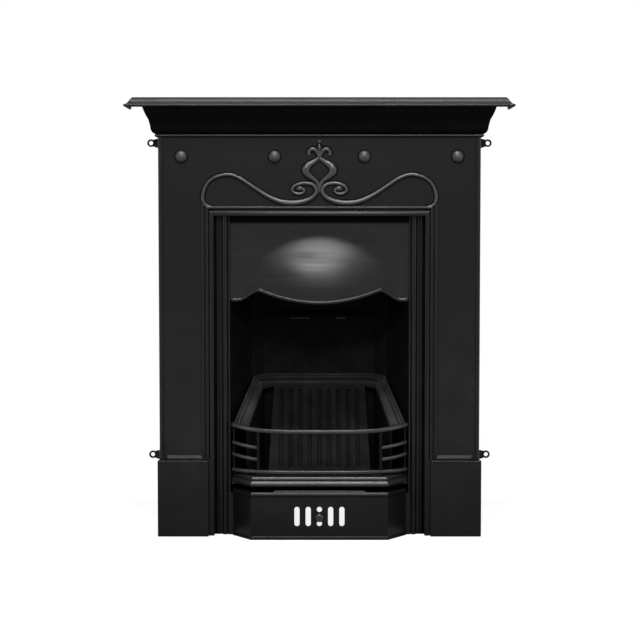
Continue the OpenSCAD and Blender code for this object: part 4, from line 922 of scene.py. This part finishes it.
@dataclass
class Insert(SubAssembly):
    """The moulded frame inside the opening, and the hood."""

    half_w: float = 220
    flange_half: float = 292
    top: float = 858
    front: float = 38
    back: float = 32
    hood_top: float = 769
    corner_z: float = 576
    peak_z: float = 600.5
    middle_z: float = 570
    peak_x: float = 148
    dome_out: float = 32
    hood_t: float = 5
    crest_z: float = 574
    dome_half: float = 188
    columns: int = 110
    rows: int = 46
    roll_rows: int = 10
    roll_w: float = 9.0
    roll_h: float = 3.0

    def frame(self) -> None:
        """The flanged frame with a strip, a groove and a ridge on each side."""
        bm = bmesh.new()
        half, flange = self.half_w, self.flange_half
        outline = [(-flange, 0), (-flange, self.top), (flange, self.top), (flange, 0), (half, 0),
                   (half, self.hood_top + 1), (-half, self.hood_top + 1), (-half, 0)]
        upright_prism(bm, outline, self.back, self.front)
        for side in (-1, 1):
            block(bm, sorted_pair(side * half, side * (half + 9)), (27, self.back + 1), (560, 577))
            block(bm, sorted_pair(side * 111, side * 129), (27, self.back + 1), (779, 797))
        # Painted shade: the flat plate, in the shadow of the opening's head, takes the darkened
        # finish.
        self.dresser.finish(bm, "insert_frame_plate", Body.FIREPLACE, Slot.POLISHED, SHADE_DARKENED_GRAPHITE,
                            ["insert_frame"], edge=0.6, crease=38)
        bm = bmesh.new()
        for side in (-1, 1):
            strip = [(226.2, 37.5), (226.2, 43)] + arc((232.3, 43), (6.1, 4.8), 180, 0,
                                                       12)[1:] + [(238.4, 37.5)]
            groove = [(238.4, 37.5), (240, 39.2), (246, 39.2), (247, 37.5)]
            ridge = [(247, 37.5)] + arc((250.5, 38.2), (3.5, 3.6), 180, 0, 10) + [(254, 37.5)]
            lip = [(220, 37.5), (220, 39.6), (224.4, 39.6), (225.2, 37.5)]
            for plan in (strip, groove, ridge, lip):
                plan_prism(bm, [(side * x, d) for x, d in plan], 0.5, 786.5)
        self.dresser.finish(bm, "insert_frame_mouldings", Body.FIREPLACE, Slot.POLISHED,
                            GRAPHITE_POLISH, edge=0.4, crease=38)

    def low_edge(self, x: float) -> float:
        """Height of the hood's lower edge at a distance from the middle.

        Args:
            x: the distance, to either side.

        Returns:
            The height.
        """
        x = abs(x)
        shoulder = self.half_w - 20
        if x < self.peak_x:
            return self.middle_z + (self.peak_z - self.middle_z) * (x / self.peak_x) ** 2
        if x > shoulder:
            return self.corner_z
        share = smooth_step((x - self.peak_x) / (shoulder - self.peak_x))
        return self.peak_z - (self.peak_z - self.corner_z) * share

    def swell(self, x: float, z: float) -> float:
        """Share of the dome's depth at a point.

        Args:
            x: its place along the width.
            z: its height.

        Returns:
            The share, from 0 at the dome's edge to 1 at its middle.
        """
        above, below = self.hood_top - 28 - self.crest_z, 150
        rise = (z - self.crest_z) / above if z > self.crest_z else (self.crest_z - z) / below
        inside = 1 - (x / self.dome_half) ** 2 - rise ** 2
        if inside <= 0:
            return 0.0
        hollow = 0.03 * math.exp(-(((x + 30) / 34) ** 2 + ((z - 677) / 15) ** 2))
        return inside ** 1.5 - hollow

    def hood(self) -> None:
        """The hood: one domed sheet with a round roll along its waved lower edge."""
        bm = bmesh.new()
        half = self.half_w + 9
        bmesh.ops.create_grid(bm, x_segments=self.columns, y_segments=self.rows, size=1)
        high = self.hood_top + 9
        for vert in bm.verts:
            x = vert.co.x * half
            row = (vert.co.y + 1) / 2 * self.rows
            low = self.low_edge(x)
            if row <= self.roll_rows:
                turn = math.pi * row / self.roll_rows
                rise = self.roll_w / 2 * (1 - math.cos(turn))
                roll = self.roll_h * math.sin(turn)
            else:
                share = (row - self.roll_rows) / (self.rows - self.roll_rows)
                rise = self.roll_w + (high - low - self.roll_w) * share
                roll = 0.0
            z = low + rise
            inside = smooth_step((self.half_w - 1 - abs(x)) / 3)
            proud = self.dome_out * self.swell(x, z) + roll * inside
            vert.co = at(x, self.back - 0.02 + proud, z)
        bmesh.ops.recalc_face_normals(bm, faces=bm.faces)
        if next(iter(bm.faces)).normal.y > 0:
            bmesh.ops.reverse_faces(bm, faces=bm.faces)
        bmesh.ops.solidify(bm, geom=bm.faces, thickness=self.hood_t)
        self.dresser.finish(bm, "hood_dome", Body.FIREPLACE, Slot.POLISHED, BRUSHED_GRAPHITE,
                            ["hood"], edge=0, crease=50)


# ---------------------------------------------------------------- fire basket


@dataclass
class Basket(SubAssembly):
    """The hopper, the fluted plate, the front bars and the base with its rail."""

    rim_front: float = 42
    rim_front_z: float = 274
    rim_half: float = 212
    rail_w: float = 32
    back_in: float = 117
    back_x: float = 167
    back_z: float = 374
    drop: float = 22
    base_top: float = 134
    flute_n: int = 9
    flute_pitch: float = 24.2
    flute_w: float = 10
    foot_w: float = 256
    top_w: float = 232
    plate_t: float = 10
    bars_half: float = 213
    bars_floor: float = 153.6
    bars_end_out: float = 49
    bars_mid_out: float = 101
    bars_lift_at_ends: float = 12
    joint_z: float = 525.5
    base_foot: float = 128.0

    @property
    def skirt_front(self) -> float:
        """Half the clear width between the skirts at the front."""
        return self.rim_half - self.rail_w - 6

    @property
    def skirt_back(self) -> float:
        """Half the clear width between the skirts at the back."""
        return self.back_x - 23

    def rim_stations(self) -> list[tuple[Vector, Vector]]:
        """Follows the rim from the right front round the back to the left.

        Returns:
            The inner and the outer point at each of its corners.
        """
        right = [(at(self.skirt_front, self.rim_front, self.rim_front_z - 4),
                  at(self.rim_half, self.rim_front, self.rim_front_z)),
                 (at(self.skirt_back, -self.back_in, self.back_z - self.drop + 2),
                  at(self.back_x, -self.back_in, self.back_z + 4)),
                 (at(118, -128, 360), at(140, -144, 383))]
        flip = Matrix.Diagonal((-1, 1, 1))
        return right + [(flip @ a, flip @ b) for a, b in reversed(right)]

    def rim_rise(self, t: float) -> float:
        """Height of the rim's ribs and groove.

        Args:
            t: the share of the rim's width, from its inner edge outwards.

        Returns:
            The height above the rim's plain slope.
        """
        for start, end, high in ((0.0, 0.5, 5.0), (0.6, 0.74, 4.5), (0.86, 1.0, 4.7)):
            if start < t < end:
                return high * math.sin(math.pi * (t - start) / (end - start)) ** 0.5
        return -3.5 if 0.5 < t < 0.9 else 0.0

    def hopper(self) -> None:
        """The rim with its three ribs, the skirts under it and their feet."""
        steps = 50
        rings = []
        for number, (inner, outer) in enumerate(self.rim_stations()):
            across = outer - inner
            share = 0.45 if number in (2, 3) else 1.0
            ring = []
            for i in range(steps + 1):
                t = i / steps
                ring.append(inner + across * t + Vector((0, 0, share * self.rim_rise(t))))
            ring += [outer - Vector((0, 0, 9)), inner - Vector((0, 0, 9))]
            rings.append(ring)
        # Painted light: the rim's sides take a lighter grey than the back of the same casting.
        bm = bmesh.new()
        loft(bm, rings[:2])
        loft(bm, rings[-2:])
        self.dresser.finish(bm, "hopper_rim_sides", Body.FIREPLACE, Slot.BASKET, LIGHTENED_RIM_GRAPHITE,
                            ["hopper"], edge=0, crease=40)
        # Painted shade: the back of the rim takes a darker copy of the rim's polish.
        bm = bmesh.new()
        loft(bm, rings[1:-1])
        self.dresser.finish(bm, "hopper_rim_back", Body.FIREPLACE, Slot.BASKET, SHADE_DARKENED_RIM, edge=0,
                            crease=40)
        bm = bmesh.new()
        front, back = self.skirt_front, self.skirt_back
        for side in (-1, 1):
            wall = [[at(side * x, self.rim_front, z) for x, z in
                     ((front, self.base_top), (front + 6, self.base_top),
                      (front + 6, self.rim_front_z - 7), (front, self.rim_front_z - 7))],
                    [at(side * x, -self.back_in, z) for x, z in
                     ((back, self.base_top), (back + 6, self.base_top),
                      (back + 6, self.back_z - 24), (back, self.back_z - 26))]]
            loft(bm, wall)
            plan_prism(bm, [(side * x, d) for x, d in ((171, 25.7), (204, 25.7), (190, -48),
                                                       (157, -48))],
                       self.base_top, self.base_top + 6)
            block(bm, sorted_pair(side * 70.8, side * 86.8), (-144, -133.3), (341, 371))
        self.dresser.finish(bm, "hopper_skirts", Body.FIREPLACE, Slot.BASKET, STOVE_BLACK,
                            edge=0.8, crease=40)

    def cement(self) -> None:
        """The smear of fire cement that closes most of the joint under the throat plate."""
        bm = bmesh.new()
        section = ((0, -0.1), (0.4, 3.4), (1.2, 5.2), (9, 10.5), (9, -0.1))
        loft(bm, [[at(x, -119.2 - d - 0.2 * math.sin(x / 7), self.joint_z + h) for d, h in section]
                  for x in range(-138, 139, 6)])
        self.dresser.finish(bm, "fire_cement_joint", Body.FIREPLACE, Slot.FIREBOX, SOOTED_CEMENT,
                            edge=0, crease=60)
        # Painted light: two pale patches on the cement stand for light through the joint under the
        # throat plate.
        bm = bmesh.new()
        patch = ((0, 0.4), (0.3, 2.2), (0.9, 2.6), (1.2, 0.4))
        for start, end in ((-74, -22), (42, 70)):
            loft(bm, [[at(x, -118.9 - d, self.joint_z + h) for d, h in patch]
                      for x in range(start, end, 4)])
        self.dresser.finish(bm, "painted_light_strokes_on_cement", Body.FIREPLACE, Slot.FIREBOX, PALE_CEMENT_PAINTED_LIGHT,
                            edge=0, crease=60)

    def fluted(self) -> None:
        """The leaning plate with round-topped flutes."""
        foot_z, foot_in, top_z, top_in = 152.0, 24.0, 353.0, 125.5
        lean = math.atan2(top_z - foot_z, top_in - foot_in)
        length = math.hypot(top_z - foot_z, top_in - foot_in)
        below = (foot_z - self.base_top - 0.3) / math.sin(lean)
        place = Matrix.Translation(at(0, -foot_in, foot_z)) @ Matrix.Rotation(lean, 4, "X")
        half_foot, half_top = self.foot_w / 2, self.top_w / 2
        outline = [(-half_foot, -below - 4), (half_foot, -below - 4), (half_foot, 0),
                   (half_top, length), (-half_top, length), (-half_foot, 0)]
        bm = bmesh.new()
        loft(bm, [[place @ Vector((x, s, h)) for x, s in outline] for h in (-self.plate_t, 0.0)])
        floor = at(0, 0, self.base_top + 0.3)
        cut = bmesh.ops.bisect_plane(bm, geom=bm.verts[:] + bm.edges[:] + bm.faces[:],
                                     plane_co=floor,
                                     plane_no=(0, 0, -1), clear_outer=True)
        rim = [e for e in cut["geom_cut"] if isinstance(e, bmesh.types.BMEdge)]
        bmesh.ops.edgeloop_fill(bm, edges=rim)
        piece = self.dresser.finish(bm, "fluted_back_plate", Body.FIREPLACE, Slot.BASKET,
                                    SOOTED_IRON, ["fluted_plate"], edge=0, crease=40)

        def flutes(cutter: bmesh.types.BMesh) -> None:
            """The grooves, each with a round top and a round foot.

            Args:
                cutter: the mesh to add to.
            """
            radius = self.flute_w / 2
            top = length - 10 - radius
            outline = arc((0, top), (radius, radius), 0, 180, 12) + arc((0, 10), (radius, radius),
                                                                        180, 360, 12)
            for i in range(self.flute_n):
                x0 = (i - (self.flute_n - 1) / 2) * self.flute_pitch
                rings = [[place @ Vector((x0 + x * k, s, h)) for x, s in outline]
                         for k, h in ((1.12, 1.0), (1.0, -0.6), (0.9, -3.0), (0.62, -5.2),
                                      (0.2, -6.6))]
                loft(cutter, rings)

        cut_away(piece, flutes)
        self.dresser.dress(piece, Slot.BASKET, SOOTED_IRON, edge=0.5, crease=38)

    def bar_out(self, x: float) -> float:
        """How far the bars' middle line stands out at a place along them."""
        reach = self.bars_mid_out - self.bars_end_out
        return self.bars_end_out + reach * (1 - (abs(x) / self.bars_half) ** 4)

    def bar_rise(self, x: float) -> float:
        """How much an upper bar rises at a place along it."""
        return self.bars_lift_at_ends * (abs(x) / self.bars_half) ** 4

    def bar(self, bm: bmesh.types.BMesh, x0: float, x1: float, z: float, high: float, deep: float,
            rise: float = 1.0) -> None:
        """A round-edged bar that follows the bow of the basket.

        Args:
            bm: the mesh to add to.
            x0: where it starts.
            x1: where it ends.
            z: the height of its middle at the centre of the basket.
            high: the height of its section.
            deep: the depth of its section.
            rise: how much of the upward curve it takes.
        """
        steps = max(6, int(abs(x1 - x0) / 9))
        section = soft_oblong((deep / 2, high / 2), 0.55)
        rings = []
        for k in range(steps + 1):
            x = x0 + (x1 - x0) * k / steps
            slope = (self.bar_out(x + 0.5) - self.bar_out(x - 0.5))
            normal = Vector((-slope, 1)).normalized()
            rings.append([at(x + normal.x * u, self.bar_out(x) + normal.y * u,
                             z + rise * self.bar_rise(x) + w)
                          for u, w in section])
        loft(bm, rings)

    def bars(self) -> None:
        """The front bars: top and bottom bars, two short bars at each side, and four posts."""
        bm = bmesh.new()
        floor, end = self.bars_floor, self.bars_half - 0.5
        self.bar(bm, -end, end, 262.3, 10.5, 13)
        self.bar(bm, -end, end, 163.2, 9, 11, rise=0)
        for side in (-1, 1):
            for z in (219, 190):
                self.bar(bm, *sorted_pair(side * 148, side * end), z, 8.5, 8)
        self.dresser.finish(bm, "front_bars_casting", Body.BARS, Slot.BASKET, RUBBED_GRAPHITE,
                            ["front_bars"], edge=0.4, crease=50)
        # Painted shade: the posts, which sit in shadow, take the darkened rim finish.
        bm = bmesh.new()
        for side in (-1, 1):
            self.post(bm, side * 149.5, 3.8, self.bar_out(149.5), floor, 262)
            self.post(bm, side * 210.3, 2.2, self.bar_out(210.3) - 3, floor, 271)
        self.dresser.finish(bm, "front_bars_posts", Body.BARS, Slot.BASKET, SHADE_DARKENED_RIM, edge=0.4,
                            crease=50)

    def post(self, bm: bmesh.types.BMesh, x: float, wide: float, out: float, low: float,
             high: float) -> None:
        """An upright of the front bars with rounded sides.

        Args:
            bm: the mesh to add to.
            x: its place along the width.
            wide: half its width.
            out: how far its middle stands in front of the wall.
            low: the height of its foot.
            high: the height of its top.
        """
        outline = soft_oblong((wide, 5.0), 0.6)
        plan_prism(bm, [(x + u, out + w) for u, w in outline], low, high)

    def base(self) -> None:
        """The base plate with its two-rolled rail, its ears and the drop for ash."""
        foot = self.base_foot
        section = [(-32, 0), (-7, 0), (-4, 2.2)]
        section += arc((-4.5, 7.0), (4.5, 4.8), -50, 8, 6) + [(-2.2, 13.8)]
        section += arc((-5.6, 13.2), (3.5, 2.4), 15, 100, 6) + [(-8.6, 15.6)]
        section += [(-6.4, 16.4), (-4.6, 17.4), (-4.3, 18.4), (-5.8, 23.0)]
        section += arc((-8.8, 22.4), (3.0, 3.1), 15, 90, 5)
        section += [(-32, 25.5), (-32, 21.5), (-12, 21.5), (-12, 6), (-32, 6)]
        path = [(-216, 34), (-216, 48), (-166, 117), (166, 117), (216, 48), (216, 34)]
        bm = bmesh.new()
        loft(bm, mitred_rings(path, [(u, foot + z) for u, z in section]))
        left = [(-142, 88), (-209, 49), (-215.5, 47), (-215.5, -11.5), (-167, -116.5),
                (-140, -144.5)]
        plan_prism(bm, left + [(-x, d) for x, d in reversed(left)], foot, foot + 6)
        piece = self.dresser.finish(bm, "base_plate_and_rail", Body.FIREPLACE, Slot.BASKET,
                                    RUBBED_GRAPHITE, ["base_plate"], edge=0, crease=35)
        cut_away(piece, lambda cutter: block(cutter, (-115, 115), (-4, 68), (foot - 1, foot + 7)))
        self.dresser.dress(piece, Slot.BASKET, RUBBED_GRAPHITE, edge=0.5, crease=35)
        bm = bmesh.new()
        for side in (-1, 1):
            block(bm, sorted_pair(side * 199, side * 229), (26, 32), (foot, foot + 22))
        self.dresser.finish(bm, "base_plate_ears", Body.FIREPLACE, Slot.BASKET, STOVE_BLACK,
                            edge=0.4)


@dataclass
class AshCover(SubAssembly):
    """The loose cover in front of the ash pit, with its knob."""

    height: float = 116
    out: float = 115
    half: float = 166
    end_x: float = 213
    end_out: float = 50
    back: float = 38.3
    slot_pitch: float = 27.3
    slot_w: float = 12.8
    slot_low: float = 33
    slot_high: float = 81
    knob_z: float = 57
    knob_d: float = 21
    knob_l: float = 22

    def cover(self) -> None:
        """The folded plate with its foot, its top band and hump, and five slots."""
        high = self.height
        section = [(1.5, 0), (1.5, 1), (0.1, 7.6), (-0.4, 8.6), (0, 10), (0, high - 12.6),
                   (-1.4, high - 11.6),
                   (-1.2, high - 10.6), (1.4, high - 9), (1.5, high - 8.4), (-1.2, high - 0.8),
                   (-2, high),
                   (-20, high), (-20, high - 6), (-6, high - 6), (-6, 0)]
        path = [(-self.end_x, self.back), (-self.end_x, self.end_out), (-self.half, self.out),
                (self.half, self.out), (self.end_x, self.end_out), (self.end_x, self.back)]
        bm = bmesh.new()
        loft(bm, mitred_rings(path, section))
        hump = [(-118, high - 1)] + [(-118 + 12 * k / 6,
                                      high - 1 + 5.4 * smooth_step(k / 6)) for k in range(1, 7)]
        loft(bm, [[at(x, d - 0.36 * (z - high + 1), z) for x, z in mirrored(hump)]
                  for d in (self.out - 20, self.out - 0.6)])
        for side in (-1, 1):
            block(bm, sorted_pair(side * (self.end_x - 3), side * 225), (self.back, self.back + 6),
                  (0, 104))
        piece = self.dresser.finish(bm, "ash_cover_plate", Body.COVER, Slot.BASKET, COVER_GRAPHITE,
                                    ["ash_cover"], edge=0, crease=35)

        def slots(cutter: bmesh.types.BMesh) -> None:
            """Five slots, the middle one parted by the knob's round web.

            Args:
                cutter: the mesh to add to.
            """
            radius = self.slot_w / 2
            for i in range(-2, 3):
                x = i * self.slot_pitch
                ends = [(self.slot_low, self.slot_high)]
                if i == 0:
                    ends = [(self.slot_low, self.knob_z - 10.5),
                            (self.knob_z + 10.5, self.slot_high)]
                for low, top in ends:
                    reach = min(radius, (top - low) / 2)
                    outline = arc((x, top - reach), (radius, reach), 0, 180, 14)
                    outline += arc((x, low + reach), (radius, reach), 180, 360, 14)
                    upright_prism(cutter, outline, self.out - 12, self.out + 6)

        cut_away(piece, slots)
        self.dresser.dress(piece, Slot.BASKET, COVER_GRAPHITE, edge=0.8, crease=35)

    def knob(self) -> None:
        """The turned lifting knob."""
        r, length = self.knob_d / 2, self.knob_l
        profile = [(0.0, 0.05), (0.78 * r, 0.05), (0.78 * r, 2.4)]
        profile += arc((0.78 * r, 6.2), (0.3 * r, 3.6), 270, 180, 6)
        profile += [(0.48 * r, length * 0.42)]
        profile += arc((0.55 * r, length * 0.72), (0.45 * r, length * 0.28), -110, 90, 14)
        profile += [(0.0, length)]
        bm = bmesh.new()
        turned(bm, profile, at(0, self.out, self.knob_z), steps=48)
        self.dresser.finish(bm, "lifting_knob", Body.COVER, Slot.BASKET, RUBBED_GRAPHITE,
                            ["cover_knob"], edge=0, crease=45)


# ---------------------------------------------------------------- studio


@dataclass(frozen=True)
class Softbox:
    """A soft rectangular lamp: metres for its place and size, watts for its power."""

    name: str
    place: tuple[float, float, float]
    aim_z: float
    size: Pair
    power: float

    def hang(self) -> None:
        """Hangs the lamp and turns it to the middle of the fireplace."""
        data = bpy.data.lights.new(self.name, "AREA")
        data.shape = "RECTANGLE"
        data.size, data.size_y = self.size
        data.energy = self.power
        lamp = bpy.data.objects.new(self.name, data)
        lamp.location = self.place
        aim = Vector((0, 0, self.aim_z)) - Vector(self.place)
        lamp.rotation_euler = aim.to_track_quat("-Z", "Y").to_euler()
        bpy.context.scene.collection.objects.link(lamp)


SOFTBOXES = (
    Softbox("front_softbox", (0.0, -2.9, 2.5), 0.6, (1.8, 0.6), 60),
    Softbox("top_softbox", (0.0, -1.1, 3.4), 0.6, (2.2, 0.25), 72),
    Softbox("left_softbox", (-2.8, -2.0, 1.3), 0.5, (0.8, 1.8), 16),
    Softbox("right_softbox", (2.8, -2.0, 1.3), 0.5, (0.8, 1.8), 16))


@dataclass
class Studio:
    """The floor, the lamps and the camera at the photograph's place."""

    camera_x: float = 1.4
    camera_out: float = 4062
    camera_z: float = 772.2
    target_out: float = 62
    target_z: float = 532.7
    lens_mm: float = 92.18
    room: float = 0.25
    floor_radius: float = 5.0
    floor_drop: float = 0.0005
    floor_tone: float = 0.26
    floor_glow: float = 0.84
    fade: Pair = (0.7, 2.2)
    sensor_mm: float = 36

    def camera(self) -> None:
        """The camera in front of the middle, a little above the fire."""
        data = bpy.data.cameras.new("camera")
        data.lens = self.lens_mm
        data.sensor_width = self.sensor_mm
        data.clip_end = 100
        camera = bpy.data.objects.new("camera", data)
        camera.location = at(self.camera_x, self.camera_out, self.camera_z) * MM
        target = at(self.camera_x, self.target_out, self.target_z) * MM
        camera.rotation_euler = (target - camera.location).to_track_quat("-Z", "Y").to_euler()
        bpy.context.scene.collection.objects.link(camera)
        bpy.context.scene.camera = camera

    def world(self) -> None:
        """White to the camera and in what mirrors the back, a plain grey room for the rest."""
        world = bpy.data.worlds.new("studio")
        bpy.context.scene.world = world
        world.use_nodes = True
        tree = world.node_tree
        tree.nodes.clear()
        rays = add_node(tree, "ShaderNodeLightPath").outputs
        seen = add_node(tree, "ShaderNodeMath", {"operation": "MAXIMUM"},
                        {0: rays["Is Camera Ray"], 1: rays["Is Transmission Ray"]}).outputs[0]
        way = add_node(tree, "ShaderNodeTexCoord").outputs["Generated"]
        towards_back = add_node(tree, "ShaderNodeSeparateXYZ", Vector=way).outputs["Y"]
        behind = add_node(tree, "ShaderNodeMapRange", Value=towards_back, From_Min=-0.1,
                          From_Max=0.2).outputs[0]
        mirrored_back = add_node(tree, "ShaderNodeMath", {"operation": "MULTIPLY"},
                                 {0: rays["Is Glossy Ray"], 1: behind}).outputs[0]
        white = add_node(tree, "ShaderNodeMath", {"operation": "MAXIMUM"},
                         {0: seen, 1: mirrored_back}).outputs[0]
        strength = add_node(tree, "ShaderNodeMapRange", Value=white, To_Min=self.room,
                            To_Max=1.0).outputs[0]
        light = add_node(tree, "ShaderNodeBackground", Color=WHITE, Strength=strength)
        add_node(tree, "ShaderNodeOutputWorld", Surface=light.outputs[0])

    def floor(self) -> None:
        """A pale floor that keeps the object's shadow and fades to white."""
        bm = bmesh.new()
        bmesh.ops.create_circle(bm, cap_ends=True, segments=64, radius=self.floor_radius)
        mesh = bpy.data.meshes.new("floor")
        bm.to_mesh(mesh)
        bm.free()
        floor = bpy.data.objects.new("floor", mesh)
        floor.location = (0, 0, -self.floor_drop)
        bpy.context.scene.collection.objects.link(floor)
        paint = bpy.data.materials.new("pale_floor")
        paint.use_nodes = True
        tree = paint.node_tree
        tree.nodes.clear()
        place = add_node(tree, "ShaderNodeTexCoord").outputs["Object"]
        far = add_node(tree, "ShaderNodeVectorMath", {"operation": "LENGTH"},
                       Vector=place).outputs["Value"]
        fade = add_node(tree, "ShaderNodeMapRange", Value=far, From_Min=self.fade[0],
                        From_Max=self.fade[1]).outputs[0]
        tone = (self.floor_tone, self.floor_tone, self.floor_tone, 1)
        matt = add_node(tree, "ShaderNodeBsdfDiffuse", Color=tone).outputs[0]
        white, glow = (add_node(tree, "ShaderNodeEmission", Color=WHITE, Strength=power).outputs[0]
                       for power in (1.0, self.floor_glow))
        lit = add_node(tree, "ShaderNodeAddShader", None, {0: matt, 1: glow}).outputs[0]
        rays = add_node(tree, "ShaderNodeLightPath").outputs
        near = add_node(tree, "ShaderNodeMixShader", None,
                        {0: rays["Is Camera Ray"], 1: matt, 2: lit}).outputs[0]
        mixed = add_node(tree, "ShaderNodeMixShader", None, {0: fade, 1: near, 2: white}).outputs[0]
        seen = add_node(tree, "ShaderNodeMath", {"operation": "MAXIMUM"},
                        {0: rays["Is Camera Ray"], 1: rays["Is Glossy Ray"]}).outputs[0]
        shown = add_node(tree, "ShaderNodeMixShader", None, {0: seen, 1: matt, 2: mixed}).outputs[0]
        add_node(tree, "ShaderNodeOutputMaterial", Surface=shown)
        mesh.materials.append(paint)

    def build(self) -> None:
        """Sets up the whole studio."""
        self.camera()
        self.world()
        self.floor()
        for softbox in SOFTBOXES:
            softbox.hang()
        bpy.context.scene.view_settings.view_transform = "Standard"


def main() -> None:
    """Builds the studio and then the fireplace from the shelf down."""
    logging.basicConfig(level=logging.INFO, format="%(name)s %(message)s")
    Studio().build()
    dresser = Dresser()
    mantel = Mantel(dresser)
    surround = Surround(dresser)
    insert = Insert(dresser)
    basket = Basket(dresser)
    cover = AshCover(dresser)
    for build in (mantel.shelf, mantel.cornice, surround.casting, surround.stud_domes,
                  surround.ornament, surround.plinths, surround.lugs, insert.frame, insert.hood,
                  basket.hopper, basket.cement, basket.fluted, basket.bars, basket.base,
                  cover.cover, cover.knob):
        build()
    dresser.paint(["left_cheek", "right_cheek", "fire_back", "throat_plate", "damper_flap",
                   "bottom_grate"],
                  STOVE_BLACK)
    dresser.paint(["hood_clips"], GRAPHITE_POLISH)
    dresser.paint(["lug_screws", "shelf_bolts", "cornice_bolts", "cornice_nuts", "plinth_bolts",
                   "insert_bolts", "hood_bolts", "cheek_bolts", "back_bolts", "back_nuts",
                   "throat_bolts",
                   "damper_pin", "base_bolts", "hopper_bolts", "knob_screw"], BLACKENED_STEEL)


if __name__ == "__main__":
    main()
